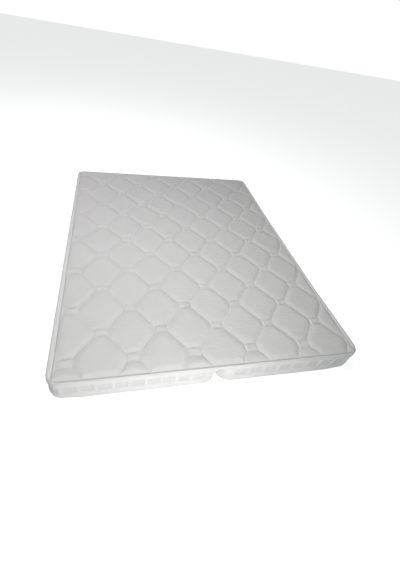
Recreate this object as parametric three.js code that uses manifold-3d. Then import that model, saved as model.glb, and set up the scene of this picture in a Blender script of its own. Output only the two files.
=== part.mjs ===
import * as THREE from 'three';
import { mergeVertices } from 'three/addons/utils/BufferGeometryUtils.js';
import Module from 'manifold-3d';

// Folding mattress: two long halves side by side, hinged on the quilted top that they share.
// Millimetres, Z up. X runs across the width with the fold line at zero, Y along the length,
// with the front at -Y, and the floor is at zero height.

// Whole mattress
const mattressLength = 2000;
const mattressWidth = 1600;
const mattressHeight = 160;
const outerCornerRadius = 60;
const clearance = 0.3;

// Layers of a half, from the floor up: the firm core fills what the others leave
const bottomClothThickness = 3;
const wallClothThickness = 3;
const comfortThickness = 25;
const quiltBackingThickness = 6;
const puffHeight = 10;

// Quilting: puffs between diagonal channels, with a small stitched patch at each crossing
const quiltPitchAcross = 151;
const quiltPitchAlong = 152;
const patchWidth = 65;
const patchDepth = 40;
const quiltShiftAcross = -116;
const quiltShiftAlong = 0;
const puffScaleShares = [0.84, 0.55];
const puffRiseShares = [0.7, 0.94];

// The quilted top rolls down to its seam over this width, in these steps
const rollWidth = 42;
const rollEdgeHeight = 3.5;
const rollWidthShares = [0.1, 0.42, 1];
const rollHeightShares = [0.36, 0.76, 1.08];
const cutOverrun = 5;

// Side band: a row of dished blocks between raised strips, with a margin above and below
const bandThickness = 16;
const bandFoot = 1;
const bandTopDrop = 18;
const bandTopInset = 6;
const upperMarginHeight = 25;
const lowerMarginHeight = 57;
const marginInset = 1;
const stitchInset = 6;
const blockDishInset = 4;
const curlHeight = 5;
const curlInset = 6;
const blockPitch = 80;
const marginCrownShare = 0.55;

// Each half's band turns in at the fold, under a seam that runs straight on
const leftNotchRadius = 90;
const rightNotchRadius = 60;
const blockTurnShare = 0.85;
const upperStitchTurnShare = 0.55;
const upperMarginTurnShare = 0.3;

// Edge roll between the band and the top
const pipingRadius = 4.5;
const pipingInset = 8;

// Zip in the back of each half, set into the band's lower margin
const zipFaceInset = 11;
const zipStart = 100;
const zipEnd = 700;
const zipHeight = 27;
const tapeWidth = 28;
const tapeThickness = 1.2;
const tapeCornerRadius = 2;
const coilWidth = 6;
const coilThickness = 2.4;
const coilEdgeRadius = 0.8;
const stopLength = 4;
const stopWidth = 9;
const stopThickness = 3;
const sliderLength = 16;
const sliderWidth = 12;
const sliderWaist = 9;
const sliderThickness = 5.2;
const channelWidth = 7.2;
const channelDepth = 2.9;
const bridgeLength = 10;
const bridgeWidth = 3.2;
const bridgeThickness = 1.4;
const bridgePostLength = 1.6;
const pullerLength = 34;
const pullerWidth = 9;
const pullerTipWidth = 6.5;
const pullerThickness = 1.4;
const pullerWindowLength = 8;
const pullerWindowWidth = 6;
const pinClearance = 0.4;

// Fineness of round work
const cornerSteps = 4;
const pipingSides = 8;
const smallArcSteps = 8;

// Sizes that follow
const halfLength = mattressLength / 2;
const halfWidth = mattressWidth / 2;
const channelTop = mattressHeight - puffHeight;
const quiltUnderside = channelTop - quiltBackingThickness;
const bandTop = mattressHeight - bandTopDrop;
const upperStitchHeight = bandTop - upperMarginHeight;
const blockMiddleHeight = (lowerMarginHeight + upperStitchHeight) / 2;
const fillInset = bandThickness + clearance;
const wallInset = clearance + wallClothThickness + clearance;
const quiltEdgeInset = pipingInset + pipingRadius + clearance;
const zipFace = halfLength - zipFaceInset;
const tapeFace = zipFace + clearance + tapeThickness;
const sliderSeat = tapeFace + clearance;
const sliderTop = sliderSeat + sliderThickness;
const sliderRest = zipStart + stopLength + clearance + sliderLength / 2;
const pinHeight = sliderTop + pinClearance + pullerThickness / 2;

const wasm = await Module();
wasm.setup();

const halves = [
  { prefix: 'left', side: -1, notchRadius: leftNotchRadius },
  { prefix: 'right', side: 1, notchRadius: rightNotchRadius },
];

const finishes = {
  quilt: { color: 0xd9d7d6, roughness: 0.95, metalness: 0 },
  band: { color: 0xe6e5e3, roughness: 0.95, metalness: 0 },
  piping: { color: 0xeeeeec, roughness: 0.9, metalness: 0 },
  wall: { color: 0xdedddb, roughness: 0.95, metalness: 0 },
  bottom: { color: 0xcfcfcd, roughness: 0.97, metalness: 0 },
  core: { color: 0xeadfc4, roughness: 1, metalness: 0 },
  comfort: { color: 0xf3efe2, roughness: 1, metalness: 0 },
  tape: { color: 0xe4e4e2, roughness: 0.9, metalness: 0 },
  coil: { color: 0xe9e9e6, roughness: 0.5, metalness: 0 },
  metal: { color: 0xb9bbbd, roughness: 0.3, metalness: 1 },
};

function named(name, geometry, finish) {
  const mesh = new THREE.Mesh(geometry, new THREE.MeshStandardMaterial(finishes[finish]));
  mesh.name = name;
  return mesh;
}

// A closed geometry from points and triangles, turned so that its faces point out.
function closedGeometry(points, triangles) {
  const places = points.map((point) => new THREE.Vector3(...point));
  const volume = triangles.reduce((sum, [a, b, c]) => (
    sum + places[a].dot(places[b].clone().cross(places[c]))), 0);
  const turned = volume < 0 ? triangles.map(([a, b, c]) => [a, c, b]) : triangles;
  const geometry = new THREE.BufferGeometry();
  geometry.setAttribute('position', new THREE.Float32BufferAttribute(points.flat(), 3));
  geometry.setIndex(turned.flat());
  return geometry;
}

// Joins rings of points into a skin, and closes its two ends with the triangles of endCap.
function skinRings(rings, endCap) {
  const count = rings[0].length;
  const last = (rings.length - 1) * count;
  const triangles = [];
  for (let ring = 0; ring < rings.length - 1; ring += 1) {
    for (let step = 0; step < count; step += 1) {
      const a = ring * count + step;
      const b = ring * count + (step + 1) % count;
      triangles.push([a, b, b + count], [a, b + count, a + count]);
    }
  }
  for (const [a, b, c] of endCap) {
    triangles.push([a, c, b], [a + last, b + last, c + last]);
  }
  return closedGeometry(rings.flat(), triangles);
}

// A fan that closes a ring whose outline is convex.
function fanCap(count) {
  return Array.from({ length: count - 2 }, (_, step) => [0, step + 1, step + 2]);
}

function solidOf(geometry) {
  const source = weld(geometry);
  return new wasm.Manifold(new wasm.Mesh({
    numProp: 3,
    vertProperties: Float32Array.from(source.getAttribute('position').array),
    triVerts: Uint32Array.from(source.index.array),
  }));
}

function geometryOf(solid) {
  const mesh = solid.getMesh();
  const geometry = new THREE.BufferGeometry();
  geometry.setAttribute('position', new THREE.BufferAttribute(mesh.vertProperties, 3));
  geometry.setIndex(new THREE.BufferAttribute(mesh.triVerts, 1));
  return geometry;
}

// An indexed copy of a geometry in which points at the same place are one point.
function weld(geometry) {
  const bare = geometry.clone();
  bare.deleteAttribute('normal');
  bare.deleteAttribute('uv');
  return mergeVertices(bare);
}

// A plate of the given outline, drawn in X and Y, that stands on baseHeight. Each of its arcs
// has arcSteps sides.
function plate(outline, baseHeight, thickness, arcSteps = smallArcSteps) {
  const geometry = new THREE.ExtrudeGeometry(outline, {
    depth: thickness,
    bevelEnabled: false,
    curveSegments: arcSteps / 2,
  });
  return geometry.translate(0, 0, baseHeight);
}

function boxAt(length, width, height, x, y, z) {
  return new THREE.BoxGeometry(length, width, height).translate(x, y, z);
}

function roundedOutline(length, width, radius) {
  const x = length / 2;
  const y = width / 2;
  const outline = new THREE.Shape();
  outline.absarc(x - radius, y - radius, radius, 0, Math.PI / 2);
  outline.absarc(radius - x, y - radius, radius, Math.PI / 2, Math.PI);
  outline.absarc(radius - x, radius - y, radius, Math.PI, Math.PI * 1.5);
  outline.absarc(x - radius, radius - y, radius, Math.PI * 1.5, Math.PI * 2);
  return outline;
}

// Stations of the band from the fold, along the front and round the corner to half way down
// the side. Each has its place, the way it faces, its turn into the notch and its dish share.
function bandStations(notchRadius) {
  const stations = [];
  const notchEnd = clearance + notchRadius;
  const frontEnd = halfWidth - outerCornerRadius;
  const frontRun = frontEnd - notchEnd;
  const frontBlocks = Math.round(frontRun / blockPitch);
  const sideStart = outerCornerRadius - halfLength;
  const sideRun = mattressLength - 2 * outerCornerRadius;
  const sideBlocks = Math.round(sideRun / blockPitch);
  for (let step = 0; step <= cornerSteps; step += 1) {
    const turn = Math.PI / 2 * (1 - step / cornerSteps);
    const across = notchEnd - notchRadius * Math.sin(turn);
    stations.push({ across, along: -halfLength, facing: 0, turn, dishShare: 0 });
  }
  for (let step = 1; step <= 2 * frontBlocks; step += 1) {
    const across = notchEnd + frontRun * step / (2 * frontBlocks);
    stations.push({ across, along: -halfLength, facing: 0, turn: 0, dishShare: step % 2 });
  }
  for (let step = 1; step <= cornerSteps; step += 1) {
    const facing = Math.PI / 2 * step / cornerSteps;
    const across = frontEnd + outerCornerRadius * Math.sin(facing);
    const along = sideStart - outerCornerRadius * Math.cos(facing);
    stations.push({ across, along, facing, turn: 0, dishShare: step < cornerSteps ? 1 : 0 });
  }
  for (let step = 1; step <= sideBlocks; step += 1) {
    const along = sideStart + sideRun * step / (2 * sideBlocks);
    stations.push({ across: halfWidth, along, facing: Math.PI / 2, turn: 0, dishShare: step % 2 });
  }
  return stations;
}

// The band's outer side from the foot up: the height of each level, how deep it lies and how far
// it turns into the notch. The inner side has a level too where backed is true. A zipped band is
// flat over its lower margin.
function bandLevels(dishShare, zipped) {
  const lowerCrown = lowerMarginHeight * marginCrownShare;
  const upperCrown = upperStitchHeight + upperMarginHeight * marginCrownShare;
  const blockInset = blockDishInset * dishShare;
  const lowerInset = (inset) => (zipped ? zipFaceInset : inset);
  return [
    { height: bandFoot, inset: bandThickness, turnShare: 1, backed: false },
    { height: curlHeight, inset: lowerInset(curlInset), turnShare: 1, backed: false },
    { height: lowerCrown, inset: lowerInset(marginInset), turnShare: 1, backed: false },
    { height: lowerMarginHeight, inset: lowerInset(stitchInset), turnShare: 1, backed: true },
    { height: blockMiddleHeight, inset: blockInset, turnShare: blockTurnShare, backed: true },
    { height: upperStitchHeight, inset: stitchInset, turnShare: upperStitchTurnShare, backed: true },
    { height: upperCrown, inset: marginInset, turnShare: upperMarginTurnShare, backed: false },
    { height: bandTop, inset: bandTopInset, turnShare: 0, backed: true },
  ];
}

// The band's section, up its outer side and down its inner side.
function bandSection(dishShare, zipped) {
  const outer = bandLevels(dishShare, zipped);
  const inner = outer.filter((level) => level.backed).reverse();
  return [...outer, ...inner.map((level) => ({ ...level, inset: bandThickness }))];
}

// Closes an end of the band: its triangles climb the outer and the inner side together.
function bandCap() {
  const section = bandSection(0, false);
  const order = [...section.keys()];
  const outerCount = bandLevels(0, false).length;
  const outer = order.slice(0, outerCount);
  const inner = [0, ...order.slice(outerCount).reverse()];
  const triangles = [];
  let low = 0;
  let high = 0;
  while (low < outer.length - 1 || high < inner.length - 1) {
    const outerNext = outer[low + 1];
    const innerNext = inner[high + 1];
    const climbInner = outerNext === undefined
      || (innerNext !== undefined && section[innerNext].height <= section[outerNext].height);
    if (climbInner) {
      triangles.push([outer[low], innerNext, inner[high]]);
      high += 1;
    } else {
      triangles.push([outer[low], outerNext, inner[high]]);
      low += 1;
    }
  }
  return triangles.filter((triangle) => new Set(triangle).size === 3);
}

// The point of a station at one level of its section. In the notch the place and the facing
// move from the straight seam line to a quarter circle, by the level's turn share.
function bandPoint(station, level, half, notchRadius) {
  const { across, along, facing, turn } = station;
  const { height, inset, turnShare } = level;
  const straight = new THREE.Vector2(Math.sin(facing), -Math.cos(facing));
  const round = new THREE.Vector2(-Math.sin(turn), -Math.cos(turn));
  const outward = turn > 0 ? straight.lerp(round, turnShare).normalize() : straight;
  const drawnIn = turnShare * notchRadius * (1 - Math.cos(turn));
  const y = along + drawnIn - outward.y * inset;
  return [half.side * (across - outward.x * inset), y, height];
}

// The border lies flat behind the zip and on to the next station past each of its ends.
function makeBorder(half) {
  const stations = bandStations(half.notchRadius);
  const straight = stations.filter(({ turn, facing }) => turn === 0 && facing === 0);
  const zipReach = straight[1].across - straight[0].across;
  const onZip = ({ across }) => across > zipStart - zipReach && across < zipEnd + zipReach;
  const frontRings = stations.map((station) => bandSection(station.dishShare, false)
    .map((level) => bandPoint(station, level, half, half.notchRadius)));
  const backRings = stations.slice(0, -1).reverse().map((station) => (
    bandSection(station.dishShare, onZip(station))
      .map((level) => bandPoint(station, level, half, half.notchRadius))
      .map(([x, y, z]) => [x, -y, z])));
  const geometry = skinRings([...frontRings, ...backRings], bandCap());
  return named(`${half.prefix}_border`, geometry, 'band');
}

// The cells of the quilting over a half: a puff or a stitched patch on each place of the grid,
// on shared corner points, closed by walls and a flat underside.
function quiltBlock(half) {
  const points = [];
  const triangles = [];
  const cornerIndex = new Map();
  const place = (column, row) => [
    quiltShiftAcross + column * quiltPitchAcross,
    quiltShiftAlong + row * quiltPitchAlong,
  ];
  const patchCorner = (column, row, right, up) => {
    const key = [column, row, right, up].join();
    if (!cornerIndex.has(key)) {
      const [x, y] = place(column, row);
      cornerIndex.set(key, points.length);
      points.push([x + right * patchWidth / 2, y + up * patchDepth / 2, channelTop]);
    }
    return cornerIndex.get(key);
  };
  const addPatch = (column, row) => {
    const [a, b, c, d] = [[-1, -1], [1, -1], [1, 1], [-1, 1]]
      .map(([right, up]) => patchCorner(column, row, right, up));
    triangles.push([a, b, c], [a, c, d]);
  };
  const addPuff = (column, row) => {
    const [x, y] = place(column, row);
    const base = [
      patchCorner(column + 1, row, -1, -1), patchCorner(column + 1, row, -1, 1),
      patchCorner(column, row + 1, 1, -1), patchCorner(column, row + 1, -1, -1),
      patchCorner(column - 1, row, 1, 1), patchCorner(column - 1, row, 1, -1),
      patchCorner(column, row - 1, -1, 1), patchCorner(column, row - 1, 1, 1),
    ];
    let lower = base;
    puffScaleShares.forEach((scaleShare, ring) => {
      const upper = base.map((index) => {
        const [baseX, baseY] = points[index];
        const height = channelTop + puffHeight * puffRiseShares[ring];
        points.push([x + (baseX - x) * scaleShare, y + (baseY - y) * scaleShare, height]);
        return points.length - 1;
      });
      lower.forEach((from, step) => {
        const next = (step + 1) % lower.length;
        triangles.push([from, lower[next], upper[next]], [from, upper[next], upper[step]]);
      });
      lower = upper;
    });
    const crown = points.length;
    points.push([x, y, mattressHeight]);
    lower.forEach((from, step) => triangles.push([from, lower[(step + 1) % lower.length], crown]));
  };
  const columnOf = (x) => (x - quiltShiftAcross) / quiltPitchAcross;
  const rowOf = (y) => (y - quiltShiftAlong) / quiltPitchAlong;
  const edges = [0, half.side * halfWidth].sort((a, b) => a - b);
  for (let column = Math.floor(columnOf(edges[0])) - 1; column <= columnOf(edges[1]) + 2; column += 1) {
    for (let row = Math.floor(rowOf(-halfLength)) - 1; row <= rowOf(halfLength) + 2; row += 1) {
      const addCell = (column + row) % 2 === 0 ? addPatch : addPuff;
      addCell(column, row);
    }
  }
  return closeDown(points, triangles, quiltUnderside - cutOverrun);
}

// Closes an open sheet of triangles with walls along its rim and a flat underside.
function closeDown(points, triangles, underside) {
  const count = points.length;
  const edges = triangles.flatMap(([a, b, c]) => [[a, b], [b, c], [c, a]]);
  const known = new Set(edges.map((edge) => edge.join()));
  const rim = edges.filter(([a, b]) => !known.has([b, a].join()));
  const lowPoints = points.map(([x, y]) => [x, y, underside]);
  const lowTriangles = triangles.map(([a, b, c]) => [a + count, c + count, b + count]);
  const walls = rim.flatMap(([a, b]) => [[a, a + count, b + count], [a, b + count, b]]);
  return closedGeometry([...points, ...lowPoints], [...triangles, ...lowTriangles, ...walls]);
}

// A ring of the rolled edge: the half's outline, set in on its three outer sides.
function rollRing(half, inset, height) {
  const far = halfWidth - inset - outerCornerRadius;
  const end = halfLength - inset - outerCornerRadius;
  const ring = [[clearance, inset - halfLength]];
  for (const corner of [-1, 1]) {
    for (let step = 0; step <= cornerSteps; step += 1) {
      const angle = Math.PI / 2 * (step / cornerSteps + (corner - 1) / 2);
      const x = far + outerCornerRadius * Math.cos(angle);
      const y = corner * end + outerCornerRadius * Math.sin(angle);
      ring.push([x, y]);
    }
  }
  ring.push([clearance, halfLength - inset]);
  return ring.map(([x, y]) => [half.side * x, y, height]);
}

function makeTopPanel(half) {
  const edgeHeight = quiltUnderside + rollEdgeHeight;
  const roll = rollWidthShares.map((widthShare, step) => {
    const inset = quiltEdgeInset + rollWidth * widthShare;
    return rollRing(half, inset, edgeHeight + (mattressHeight - edgeHeight) * rollHeightShares[step]);
  });
  const envelope = skinRings([
    rollRing(half, quiltEdgeInset, quiltUnderside),
    rollRing(half, quiltEdgeInset, edgeHeight),
    ...roll,
  ], fanCap(roll[0].length));
  const solid = solidOf(quiltBlock(half)).intersect(solidOf(envelope));
  return named(`${half.prefix}_top_panel`, geometryOf(solid), 'quilt');
}

// The plan of what fills a half. Its corners at the fold clear the ends of the band.
function fillOutline(half) {
  const reach = fillInset + clearance - wallInset;
  const depth = half.notchRadius - fillInset;
  const foldRadius = reach + depth + Math.sqrt(2 * reach * depth);
  const cornerRadius = outerCornerRadius - fillInset;
  const near = wallInset + foldRadius;
  const far = halfWidth - outerCornerRadius;
  const end = halfLength - outerCornerRadius;
  const foldEnd = halfLength - fillInset - foldRadius;
  const outline = new THREE.Shape();
  outline.absarc(near, -foldEnd, foldRadius, Math.PI, Math.PI * 1.5);
  outline.absarc(far, -end, cornerRadius, -Math.PI / 2, 0);
  outline.absarc(far, end, cornerRadius, 0, Math.PI / 2);
  outline.absarc(near, foldEnd, foldRadius, Math.PI / 2, Math.PI);
  return outline;
}

// The plan of the underside. It meets the band's foot all round and the fold plane between.
function bottomOutline(half) {
  const innerRadius = half.notchRadius - fillInset;
  const cornerRadius = outerCornerRadius - fillInset;
  const near = clearance + half.notchRadius;
  const far = halfWidth - outerCornerRadius;
  const end = halfLength - outerCornerRadius;
  const notchEnd = halfLength - half.notchRadius;
  const foldEnd = notchEnd - clearance;
  const outline = new THREE.Shape();
  outline.moveTo(clearance, foldEnd);
  outline.lineTo(clearance, -foldEnd);
  outline.lineTo(near - innerRadius, -foldEnd);
  outline.absarc(near, -notchEnd, innerRadius, Math.PI, Math.PI * 1.5);
  outline.absarc(far, -end, cornerRadius, -Math.PI / 2, 0);
  outline.absarc(far, end, cornerRadius, 0, Math.PI / 2);
  outline.absarc(near, notchEnd, innerRadius, Math.PI / 2, Math.PI);
  outline.lineTo(near - innerRadius, foldEnd);
  return outline;
}

// A copy of a geometry that was drawn for the right half, mirrored for the left one.
function onSide(half, geometry) {
  if (half.side > 0) {
    return geometry;
  }
  const welded = weld(geometry);
  const position = welded.getAttribute('position');
  const points = Array.from({ length: position.count }, (_, index) => (
    [-position.getX(index), position.getY(index), position.getZ(index)]));
  const order = Array.from(welded.index.array);
  const triangles = Array.from({ length: order.length / 3 }, (_, index) => (
    order.slice(3 * index, 3 * index + 3)));
  return closedGeometry(points, triangles);
}

function makeBottomPanel(half) {
  const geometry = plate(bottomOutline(half), 0, bottomClothThickness, cornerSteps);
  return named(`${half.prefix}_bottom_panel`, onSide(half, geometry), 'bottom');
}

function makeFoamCore(half) {
  const base = bottomClothThickness + clearance;
  const top = quiltUnderside - clearance - comfortThickness - clearance;
  const geometry = plate(fillOutline(half), base, top - base, cornerSteps);
  return named(`${half.prefix}_foam_core`, onSide(half, geometry), 'core');
}

function makeComfortLayer(half) {
  const base = quiltUnderside - clearance - comfortThickness;
  const geometry = plate(fillOutline(half), base, comfortThickness, cornerSteps);
  return named(`${half.prefix}_comfort_layer`, onSide(half, geometry), 'comfort');
}

// The plain side at the fold. Its ends follow the edges where the band turns in.
function makeInnerWall(half) {
  const base = bottomClothThickness + clearance;
  const top = quiltUnderside - clearance;
  const edgeLevels = bandLevels(0, false).filter(({ height }) => height >= lowerMarginHeight);
  const edge = edgeLevels.map(({ height, turnShare }) => {
    const bandEnd = bandThickness * Math.cos(Math.PI / 2 * turnShare);
    return [halfLength - turnShare * half.notchRadius - bandEnd - clearance, height];
  });
  const upEdge = [[edge[0][0], base], ...edge, [edge.at(-1)[0], top]];
  const points = [...upEdge, ...upEdge.map(([y, z]) => [-y, z]).reverse()];
  const outline = new THREE.Shape(points.map(([y, z]) => new THREE.Vector2(y, z)));
  const geometry = plate(outline, clearance, wallClothThickness);
  const turn = new THREE.Matrix4().makeBasis(
    new THREE.Vector3(0, 1, 0), new THREE.Vector3(0, 0, 1), new THREE.Vector3(1, 0, 0));
  return named(`${half.prefix}_inner_wall`, onSide(half, geometry.applyMatrix4(turn)), 'wall');
}

// The line of the edge roll round a half's three outer sides. Its stations crowd at the corners.
class RollLine extends THREE.Curve {
  constructor() {
    super();
    const far = halfWidth - outerCornerRadius;
    const end = halfLength - outerCornerRadius;
    const radius = outerCornerRadius - pipingInset;
    this.stations = [{ x: clearance, y: pipingInset - halfLength, angle: -Math.PI / 2 }];
    for (const corner of [-1, 1]) {
      for (let step = 0; step <= cornerSteps; step += 1) {
        const angle = Math.PI / 2 * (step / cornerSteps + (corner - 1) / 2);
        const x = far + radius * Math.cos(angle);
        const y = corner * end + radius * Math.sin(angle);
        this.stations.push({ x, y, angle });
      }
    }
    this.stations.push({ x: clearance, y: halfLength - pipingInset, angle: Math.PI / 2 });
  }

  stationAt(t) {
    return this.stations[Math.round(t * (this.stations.length - 1))];
  }

  getPointAt(t) {
    const { x, y } = this.stationAt(t);
    return new THREE.Vector3(x, y, bandTop + clearance + pipingRadius);
  }

  getTangentAt(t) {
    const { angle } = this.stationAt(t);
    return new THREE.Vector3(-Math.sin(angle), Math.cos(angle), 0);
  }
}

function makeTopPiping(half) {
  const line = new RollLine();
  const section = new THREE.Shape();
  section.absarc(0, 0, pipingRadius, 0, Math.PI * 2);
  const geometry = new THREE.ExtrudeGeometry(section, {
    steps: line.stations.length - 1,
    extrudePath: line,
    curveSegments: pipingSides / 2,
  });
  return named(`${half.prefix}_top_piping`, onSide(half, geometry), 'piping');
}

// Zip pieces are drawn lying down, X along the zip, Y up the mattress and Z out of its back.
// This stands them up at a height and a distance from the fold.
function standAtBack(geometry, across, face) {
  const turn = new THREE.Matrix4().makeBasis(
    new THREE.Vector3(-1, 0, 0), new THREE.Vector3(0, 0, 1), new THREE.Vector3(0, 1, 0));
  return geometry.applyMatrix4(turn).translate(across, face, zipHeight);
}

function makeZipTape(half) {
  const outline = roundedOutline(zipEnd - zipStart, tapeWidth, tapeCornerRadius);
  const geometry = plate(outline, 0, tapeThickness);
  const middle = (zipStart + zipEnd) / 2;
  const placed = standAtBack(geometry, middle, zipFace + clearance);
  return named(`${half.prefix}_zip_tape`, onSide(half, placed), 'tape');
}

// The closed row of teeth as one rail, with a moulded stop at each end.
function makeZipCoil(half) {
  const length = zipEnd - zipStart;
  const top = coilThickness - coilEdgeRadius;
  const side = coilWidth / 2;
  const section = new THREE.Shape();
  section.moveTo(-side, 0);
  section.lineTo(side, 0);
  section.absarc(side - coilEdgeRadius, top, coilEdgeRadius, 0, Math.PI / 2);
  section.absarc(coilEdgeRadius - side, top, coilEdgeRadius, Math.PI / 2, Math.PI);
  const alongX = new THREE.Matrix4().makeBasis(
    new THREE.Vector3(0, 1, 0), new THREE.Vector3(0, 0, 1), new THREE.Vector3(1, 0, 0));
  const rail = plate(section, -length / 2, length).applyMatrix4(alongX);
  const stopPlace = (length - stopLength) / 2;
  const stops = [-stopPlace, stopPlace].map((x) => (
    boxAt(stopLength, stopWidth, stopThickness, x, 0, stopThickness / 2)));
  const solid = stops.reduce((sum, stop) => sum.add(solidOf(stop)), solidOf(rail));
  const middle = (zipStart + zipEnd) / 2;
  const placed = standAtBack(geometryOf(solid), middle, sliderSeat);
  return named(`${half.prefix}_zip_coil`, onSide(half, placed), 'coil');
}

// The slider's body straddles the coil, and a bridge on it holds the puller's pin.
function makeZipSlider(half) {
  const nose = sliderLength / 2;
  const shoulder = sliderWidth / 2;
  const waist = sliderWaist / 2;
  const outline = new THREE.Shape();
  outline.moveTo(-nose, -shoulder);
  outline.quadraticCurveTo(0, -waist, nose, -waist);
  outline.lineTo(nose, waist);
  outline.quadraticCurveTo(0, waist, -nose, shoulder);
  const body = solidOf(plate(outline, 0, sliderThickness));
  const channel = boxAt(sliderLength + cutOverrun, channelWidth, 2 * channelDepth, 0, 0, 0);
  const bridgeRise = 2 * pinClearance + pullerThickness;
  const bridgeHeight = bridgeRise + bridgeThickness;
  const windowLength = bridgeLength - 2 * bridgePostLength;
  const rootedHeight = bridgeHeight + bridgeThickness;
  const archMiddle = bridgeHeight - rootedHeight / 2;
  const arch = solidOf(boxAt(bridgeLength, bridgeWidth, rootedHeight, 0, 0, archMiddle));
  const window = boxAt(windowLength, bridgeWidth + cutOverrun, bridgeRise, 0, 0, bridgeRise / 2);
  const bridge = arch.subtract(solidOf(window)).translate([0, 0, sliderThickness]);
  const solid = body.subtract(solidOf(channel)).add(bridge);
  const placed = standAtBack(geometryOf(solid), sliderRest, sliderSeat);
  return named(`${half.prefix}_zip_slider`, onSide(half, placed), 'metal');
}

// The puller lies along the zip, away from the fold. Its window goes round the bridge.
function makeZipPuller(half) {
  const pin = pullerThickness / 2;
  const side = pullerWidth / 2;
  const tipRadius = pullerTipWidth / 2;
  const outline = new THREE.Shape();
  outline.moveTo(pin, side);
  outline.lineTo(-pullerWindowLength, side);
  outline.lineTo(pin - pullerLength + tipRadius, tipRadius);
  outline.absarc(pin - pullerLength + tipRadius, 0, tipRadius, Math.PI / 2, Math.PI * 1.5);
  outline.lineTo(-pullerWindowLength, -side);
  outline.lineTo(pin, -side);
  const windowSide = pullerWindowWidth / 2;
  const window = new THREE.Path();
  window.moveTo(-pin, -windowSide);
  window.lineTo(-pin, windowSide);
  window.lineTo(-pin - pullerWindowLength, windowSide);
  window.lineTo(-pin - pullerWindowLength, -windowSide);
  outline.holes.push(window);
  const geometry = plate(outline, -pin, pullerThickness);
  const placed = standAtBack(geometry, sliderRest, pinHeight);
  return named(`${half.prefix}_zip_puller`, onSide(half, placed), 'metal');
}

const makers = [
  makeFoamCore, makeComfortLayer, makeTopPanel, makeBorder, makeInnerWall, makeBottomPanel,
  makeTopPiping, makeZipTape, makeZipCoil, makeZipSlider, makeZipPuller,
];

const mattress = new THREE.Group();
for (const half of halves) {
  const group = new THREE.Group();
  for (const make of makers) {
    group.add(make(half));
  }
  mattress.add(group);
}

export default mattress;
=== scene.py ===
"""Folding mattress: cover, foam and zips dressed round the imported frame.

Metres, in the frame's own axes: X across the width with the fold at zero, Y along the length
with the front at -Y, Z up from the floor.
"""

import functools
import math

import bpy
import numpy as np
from bpy.props import FloatProperty, FloatVectorProperty, IntProperty, PointerProperty
from mathutils import Matrix, Vector


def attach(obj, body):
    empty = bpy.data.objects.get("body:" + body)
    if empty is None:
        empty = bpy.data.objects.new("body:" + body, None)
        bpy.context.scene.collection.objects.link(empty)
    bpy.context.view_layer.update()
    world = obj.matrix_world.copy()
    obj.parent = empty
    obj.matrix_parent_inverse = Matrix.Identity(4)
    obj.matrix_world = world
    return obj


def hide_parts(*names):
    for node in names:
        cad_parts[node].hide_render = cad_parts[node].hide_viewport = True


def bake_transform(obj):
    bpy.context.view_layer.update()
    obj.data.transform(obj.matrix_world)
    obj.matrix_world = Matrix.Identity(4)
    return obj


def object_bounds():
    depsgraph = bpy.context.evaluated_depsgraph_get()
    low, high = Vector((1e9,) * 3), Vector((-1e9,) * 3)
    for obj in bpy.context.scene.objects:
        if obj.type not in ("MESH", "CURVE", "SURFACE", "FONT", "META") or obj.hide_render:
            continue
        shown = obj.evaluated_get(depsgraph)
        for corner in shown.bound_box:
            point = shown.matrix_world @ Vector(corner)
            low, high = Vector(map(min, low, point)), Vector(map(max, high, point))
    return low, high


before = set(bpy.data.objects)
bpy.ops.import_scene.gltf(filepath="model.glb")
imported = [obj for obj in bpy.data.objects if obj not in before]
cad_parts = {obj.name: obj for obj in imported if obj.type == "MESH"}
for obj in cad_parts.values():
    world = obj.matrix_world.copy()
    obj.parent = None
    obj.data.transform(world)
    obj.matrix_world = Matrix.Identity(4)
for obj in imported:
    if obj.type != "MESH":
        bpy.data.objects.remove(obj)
cad_low, cad_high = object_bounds()

bl_info = {
    "name": "Folding Mattress",
    "version": (1, 0, 0),
    "blender": (4, 5, 0),
    "location": "3D View > Sidebar > Mattress",
    "description": "Quilted folding mattress in two halves, with its foam and zips",
    "category": "Add Mesh",
}

SIDES = (("left", -1.0), ("right", 1.0))


# Sizes and colours


def length_of(name, description, default, low=0.0):
    """A length in metres that a user can change."""
    return FloatProperty(
        name=name,
        description=description,
        default=default,
        min=low,
        max=4.0,
        precision=4,
        unit="LENGTH",
    )


def share_of(name, description, default, high=1.0):
    """A share without a unit."""
    return FloatProperty(
        name=name, description=description, default=default, min=0.0, max=high
    )


def colour_of(name, description, default):
    """A plain colour."""
    return FloatVectorProperty(
        name=name,
        description=description,
        default=default,
        size=3,
        min=0.0,
        max=1.0,
        subtype="COLOR",
    )


def drift_of(name, default):
    """Six lengths in metres: how far a pattern drifts for 1, x, y, x y, x squared, y squared."""
    return FloatVectorProperty(
        name=name,
        description="Drift of the quilting from even rows",
        default=default,
        size=6,
        min=-1.0,
        max=1.0,
        precision=4,
    )


def place_of(name, description, default):
    """A place in the frame."""
    return FloatVectorProperty(
        name=name,
        description=description,
        default=default,
        size=3,
        subtype="TRANSLATION",
        unit="LENGTH",
    )


def power_of(name, description, default):
    """A lamp's power in watts."""
    return FloatProperty(name=name, description=description, default=default, unit="POWER")


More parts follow.
